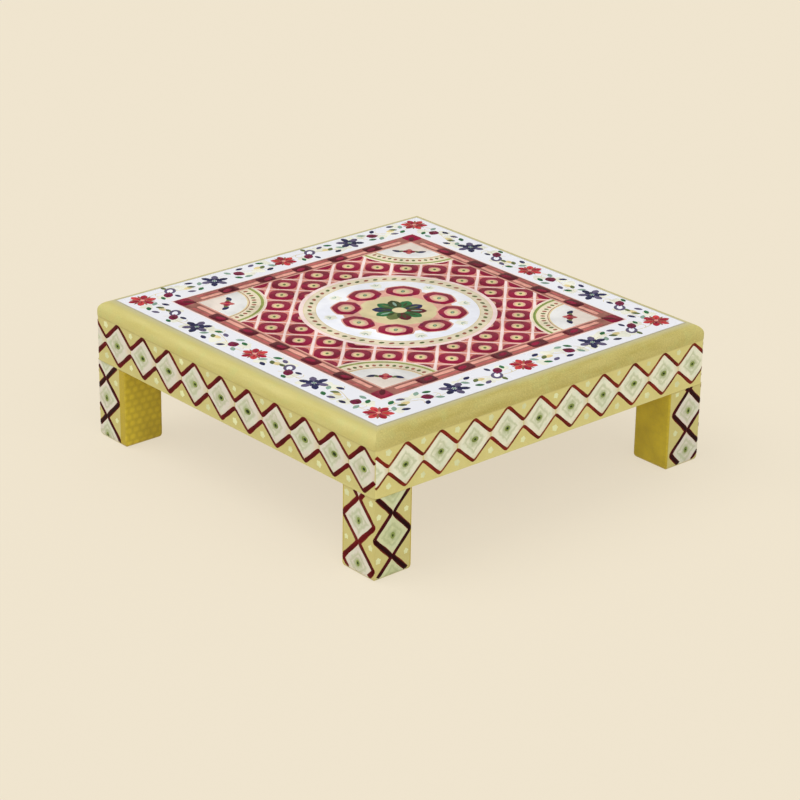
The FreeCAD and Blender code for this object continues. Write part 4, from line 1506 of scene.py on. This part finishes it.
class TABLE_OT_leg_foils(Operator):
    """Press the legs' foils: the painted strip outside, plain scales on the inner faces"""
    bl_idname = "table.leg_foils"
    bl_label = "Leg foils"

    def execute(self, context):
        c = colours()
        strip_foil = pressed_foil("Leg strip foil, gold lacquer", c.strip_foil, linear("#C6BA6A"), 0.12,
                                  0.55, SKIRT_LOW)
        # Painted light: the plain foil's colour is made lighter to stand in for light under the table.
        plain_foil = pressed_foil("Leg plain foil, deep gold lacquer", c.plain_foil, linear("#AA9228"), 0.15,
                                  0.5, SKIRT_LOW, 0.7)
        # Each leg's two strips: the middle's distance round from the outer arris, a diamond's height, the
        # repeat, and the paints of the line and of the diamonds.
        dark, red, white, green = "leg_line", "line_red", "diamond", "green_diamond"
        strips = {"front_left": ((-16.2, 20.0, 29.7, dark, white), (9.3, 32.3, 29.3, dark, white)),
                  "front_right": ((-15.6, 39.0, 31.4, red, white), (15.3, 29.8, 31.0, dark, green)),
                  "back_right": ((-12.6, 41.7, 30.6, dark, white), (16.1, 27.0, 29.7, dark, white)),
                  "back_left": ((-16.0, 36.0, 29.7, dark, white), (16.0, 24.0, 29.7, dark, white))}
        leg_side = 2 * side_length(LEG_HALF, sizes().leg_arris_round)
        paints = strip_materials()
        for name, leg in LEGS.items():
            low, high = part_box("leg_pattern_foil_" + name)
            # The patterned foil ends short of the inner arris on both faces.
            laps = [2 * LEG_HALF - (high[axis] - low[axis]) for axis in ((1, 0) if leg % 2 == 0 else (0, 1))]
            start, end = -1 + laps[0] / (2 * LEG_HALF), 1 - laps[1] / (2 * LEG_HALF)
            make_piece("leg_strip_dress_" + name, [self.foil(leg, start, end)], strip_foil,
                       ["leg_pattern_foil_" + name])
            # The scales are struck deep on the front left leg and hardly at all on the others.
            strength = 0.6 if name == "front_left" else 0.25
            make_piece("leg_plain_dress_" + name, [self.foil(leg, end, 4 + start, strength)], plain_foil,
                       ["leg_plain_foil_" + name])
            place = place_on_leg(leg)
            for index, (round_mm, height_mm, repeat_mm, line_paint, ground) in enumerate(strips[name]):
                middle = round_mm * MM
                first, last = (start * leg_side, -0.15 * MM) if round_mm < 0 else (0.15 * MM, end * leg_side)
                # The faces go round as front, right, back, left; on every other, the thick lines rise right.
                heavy = 1 if (leg + index - 1) % 2 == 0 else -1
                painter = StripPainter(lambda a, b, h, place=place, middle=middle: place(middle - b, a, h),
                                       (LEG_FOIL_LOW + 0.4 * MM, middle - last), (SKIRT_LOW, middle - first),
                                       True, heavy)
                painter.repeat = repeat_mm * MM
                painter.paint(height_mm * MM, line_paint, ground, index + leg * 0.7, 0.0, 0.78)
                painter.finish("leg_%s_%d" % (name, index), "painted_foil", paints)
        return {"FINISHED"}

    def relief(self, along, up, strength):
        """Height of the pressed relief from 0 to 1, and how deep the foil lies there.

        Under paint, where strength is 0, it is an even ground with slow dents, as deep as the paint is
        high. Elsewhere it is scales, fainter where the foil laps round onto the patterned faces; there the
        low height also turns the tone deep, a painted shade on the lapped part, which faces the light.
        """
        dent, scale_depth, crown_depth = 0.04 * MM, 0.16 * MM, 0.06 * MM
        if not strength:
            dents = dent * ripple(along + up * 1.7, 0.019, 0.031)
            return np.zeros(dents.shape), sizes().relief + dents
        height = 1 - strength * (1 - scales(along, up, sizes().scale_pitch))
        # Painted shade: where the foil laps round, the low height also turns its tone deep.
        lap_fade_and_shade = np.clip((np.abs(along / (2 * LEG_HALF) - 2) - 0.97) / 0.06, 0, 1)
        height = height * (1 - 0.9 * lap_fade_and_shade)
        return height, scale_depth * (1 - height) + crown_depth

    def foil(self, leg, start, end, strength=0.0):
        """Down the leg's faces and round its lower end, and back up behind, all round the leg."""
        s = sizes()
        foot = 5 * MM
        up = np.r_[np.linspace(SKIRT_LOW, foot, 70), np.linspace(foot, LEG_FOIL_LOW, 16)[1:]]
        back_up = np.r_[np.linspace(LEG_FOIL_LOW, foot, 6), SKIRT_LOW]
        turn = np.linspace(start, end, int((end - start) * 2 * LEG_HALF / (0.75 * MM)))[:, None]
        along = turn * 2 * LEG_HALF
        drawn = foot_reach(up, s.foot_round, FOIL)
        rims = np.clip(np.minimum(SKIRT_LOW - up, up - LEG_FOIL_LOW) / (0.9 * MM), 0, 1)
        height, depth = self.relief(along, up, strength)
        depth = depth * rims
        back_drawn = foot_reach(back_up, s.foot_round - FOIL, FOIL)
        front = self.plan(leg, turn, LEG_HALF - drawn - depth, drawn + depth, up)
        back = self.plan(leg, turn, LEG_HALF - FOIL - back_drawn, FOIL + back_drawn, back_up)
        points = np.concatenate([front, back], 1)
        shown = np.concatenate([height, np.ones((len(turn), len(back_up)))], 1)
        return tube(points, np.stack(np.broadcast_arrays(along, np.r_[up, back_up], shown), -1))

    def plan(self, leg, turn, half, lost_radius, up):
        """Points round the leg at each half width and height."""
        radius = np.clip(sizes().leg_arris_round - lost_radius, 0, None)
        x, y = leg_curve(leg, turn, half, radius)
        return np.stack(np.broadcast_arrays(x, y, up), -1)


class TABLE_OT_stage(Operator):
    """Set up the floor, the soft studio light and the camera"""
    bl_idname = "table.stage"
    bl_label = "Stage"

    def execute(self, context):
        studio = context.scene.studio_settings
        half = studio.floor_half
        corners = [(-half, -half, 0), (half, -half, 0), (half, half, 0), (-half, half, 0)]
        mesh = bpy.data.meshes.new("floor")
        mesh.from_pydata(corners, [], [(0, 1, 2, 3)])
        mesh.materials.append(paper_backdrop())
        floor = bpy.data.objects.new("floor", mesh)
        context.scene.collection.objects.link(floor)
        self.sky(context.scene, studio.sky_strength)
        self.lamp(context.scene, "key", studio.key_strength, 50, (-0.75, -1.0, 1.9))
        self.lamp(context.scene, "fill", studio.fill_strength, 70, (1.4, -0.2, 1.2))
        self.camera(context.scene, studio)
        context.scene.view_settings.view_transform = "Standard"
        return {"FINISHED"}

    def sky(self, scene, strength):
        """Even light around, with the backdrop's own colour where the camera or a gloss sees it."""
        world = bpy.data.worlds.new("Even sky")
        scene.world = world
        world.use_nodes = True
        tree = world.node_tree
        tree.nodes.clear()
        light = add(tree, "ShaderNodeBackground", {"Color": (1.0, 1.0, 1.0, 1.0), "Strength": strength})
        shown = add(tree, "ShaderNodeBackground", {"Color": (*colours().backdrop, 1.0), "Strength": 1.0})
        both = {0: seen_rays(tree), 1: light.outputs[0], 2: shown.outputs[0]}
        mixed = add(tree, "ShaderNodeMixShader", both)
        add(tree, "ShaderNodeOutputWorld", {"Surface": mixed.outputs[0]})

    def lamp(self, scene, name, strength, spread_degrees, towards):
        """A distant soft lamp that stands in the given direction from the table."""
        data = bpy.data.lights.new(name, "SUN")
        data.energy = strength
        data.angle = math.radians(spread_degrees)
        lamp = bpy.data.objects.new(name, data)
        back = np.array(towards) / np.linalg.norm(towards)
        lamp.matrix_world = frame_matrix(back, (0, 0, 1), (0, 0, 1.0))
        scene.collection.objects.link(lamp)

    def camera(self, scene, studio):
        """Camera that looks back along its own line of sight, offset a little and rolled."""
        data = bpy.data.cameras.new("camera")
        data.lens = studio.lens
        data.sensor_width = 36.0
        data.clip_end = 50.0
        camera = bpy.data.objects.new("camera", data)
        azimuth, elevation = studio.azimuth, studio.elevation
        back = np.array([math.sin(azimuth) * math.cos(elevation), -math.cos(azimuth) * math.cos(elevation),
                         math.sin(elevation)])
        right = np.array([math.cos(azimuth), math.sin(azimuth), 0.0])
        up = np.cross(back, right)
        cos, sin = math.cos(studio.roll), math.sin(studio.roll)
        right, up = right * cos - up * sin, right * sin + up * cos
        place = right * studio.shift_right + up * studio.shift_up + back * studio.distance
        camera.matrix_world = frame_matrix(back, up, place)
        scene.collection.objects.link(camera)
        scene.camera = camera


def frame_matrix(back, up, place):
    """Placing matrix of a lamp or camera from its backward and upward directions."""
    right = np.cross(up, back)
    right = right / np.linalg.norm(right)
    matrix = np.eye(4)
    matrix[:3] = np.stack([right, np.cross(back, right), back, place], -1)
    return Matrix(matrix.tolist())


class TABLE_PT_panel(Panel):
    """Shows the settings and the operators in the sidebar"""
    bl_idname = "TABLE_PT_panel"
    bl_label = "Bajot table"
    bl_space_type = "VIEW_3D"
    bl_region_type = "UI"
    bl_category = "Bajot"

    def draw(self, context):
        for name, group in GROUPS.items():
            box = self.layout.box()
            for key in group.__annotations__:
                box.prop(getattr(context.scene, name), key)
        for operator in OPERATORS:
            self.layout.operator(operator.bl_idname)


OPERATORS = (TABLE_OT_wood, TABLE_OT_fasteners, TABLE_OT_top_sheet, TABLE_OT_lattice, TABLE_OT_frame,
             TABLE_OT_fans, TABLE_OT_medallion, TABLE_OT_border, TABLE_OT_edge_foils, TABLE_OT_skirt_foils,
             TABLE_OT_leg_foils, TABLE_OT_stage)
GROUPS = {"table_sizes": TableSizes, "enamel_colours": EnamelColours, "studio_settings": StudioSettings}


def register():
    """Make the settings and the operators known, the settings on the scene."""
    for item in (*GROUPS.values(), *OPERATORS, TABLE_PT_panel):
        bpy.utils.register_class(item)
    for name, group in GROUPS.items():
        setattr(bpy.types.Scene, name, PointerProperty(type=group))


def unregister():
    """Take away what register() made known."""
    for name in GROUPS:
        delattr(bpy.types.Scene, name)
    for item in (TABLE_PT_panel, *reversed(OPERATORS), *GROUPS.values()):
        bpy.utils.unregister_class(item)


def main():
    """Register the add-on, and make every piece in order."""
    register()
    for operator in OPERATORS:
        group, name = operator.bl_idname.split(".")
        getattr(getattr(bpy.ops, group), name)()


if __name__ == "__main__":
    main()
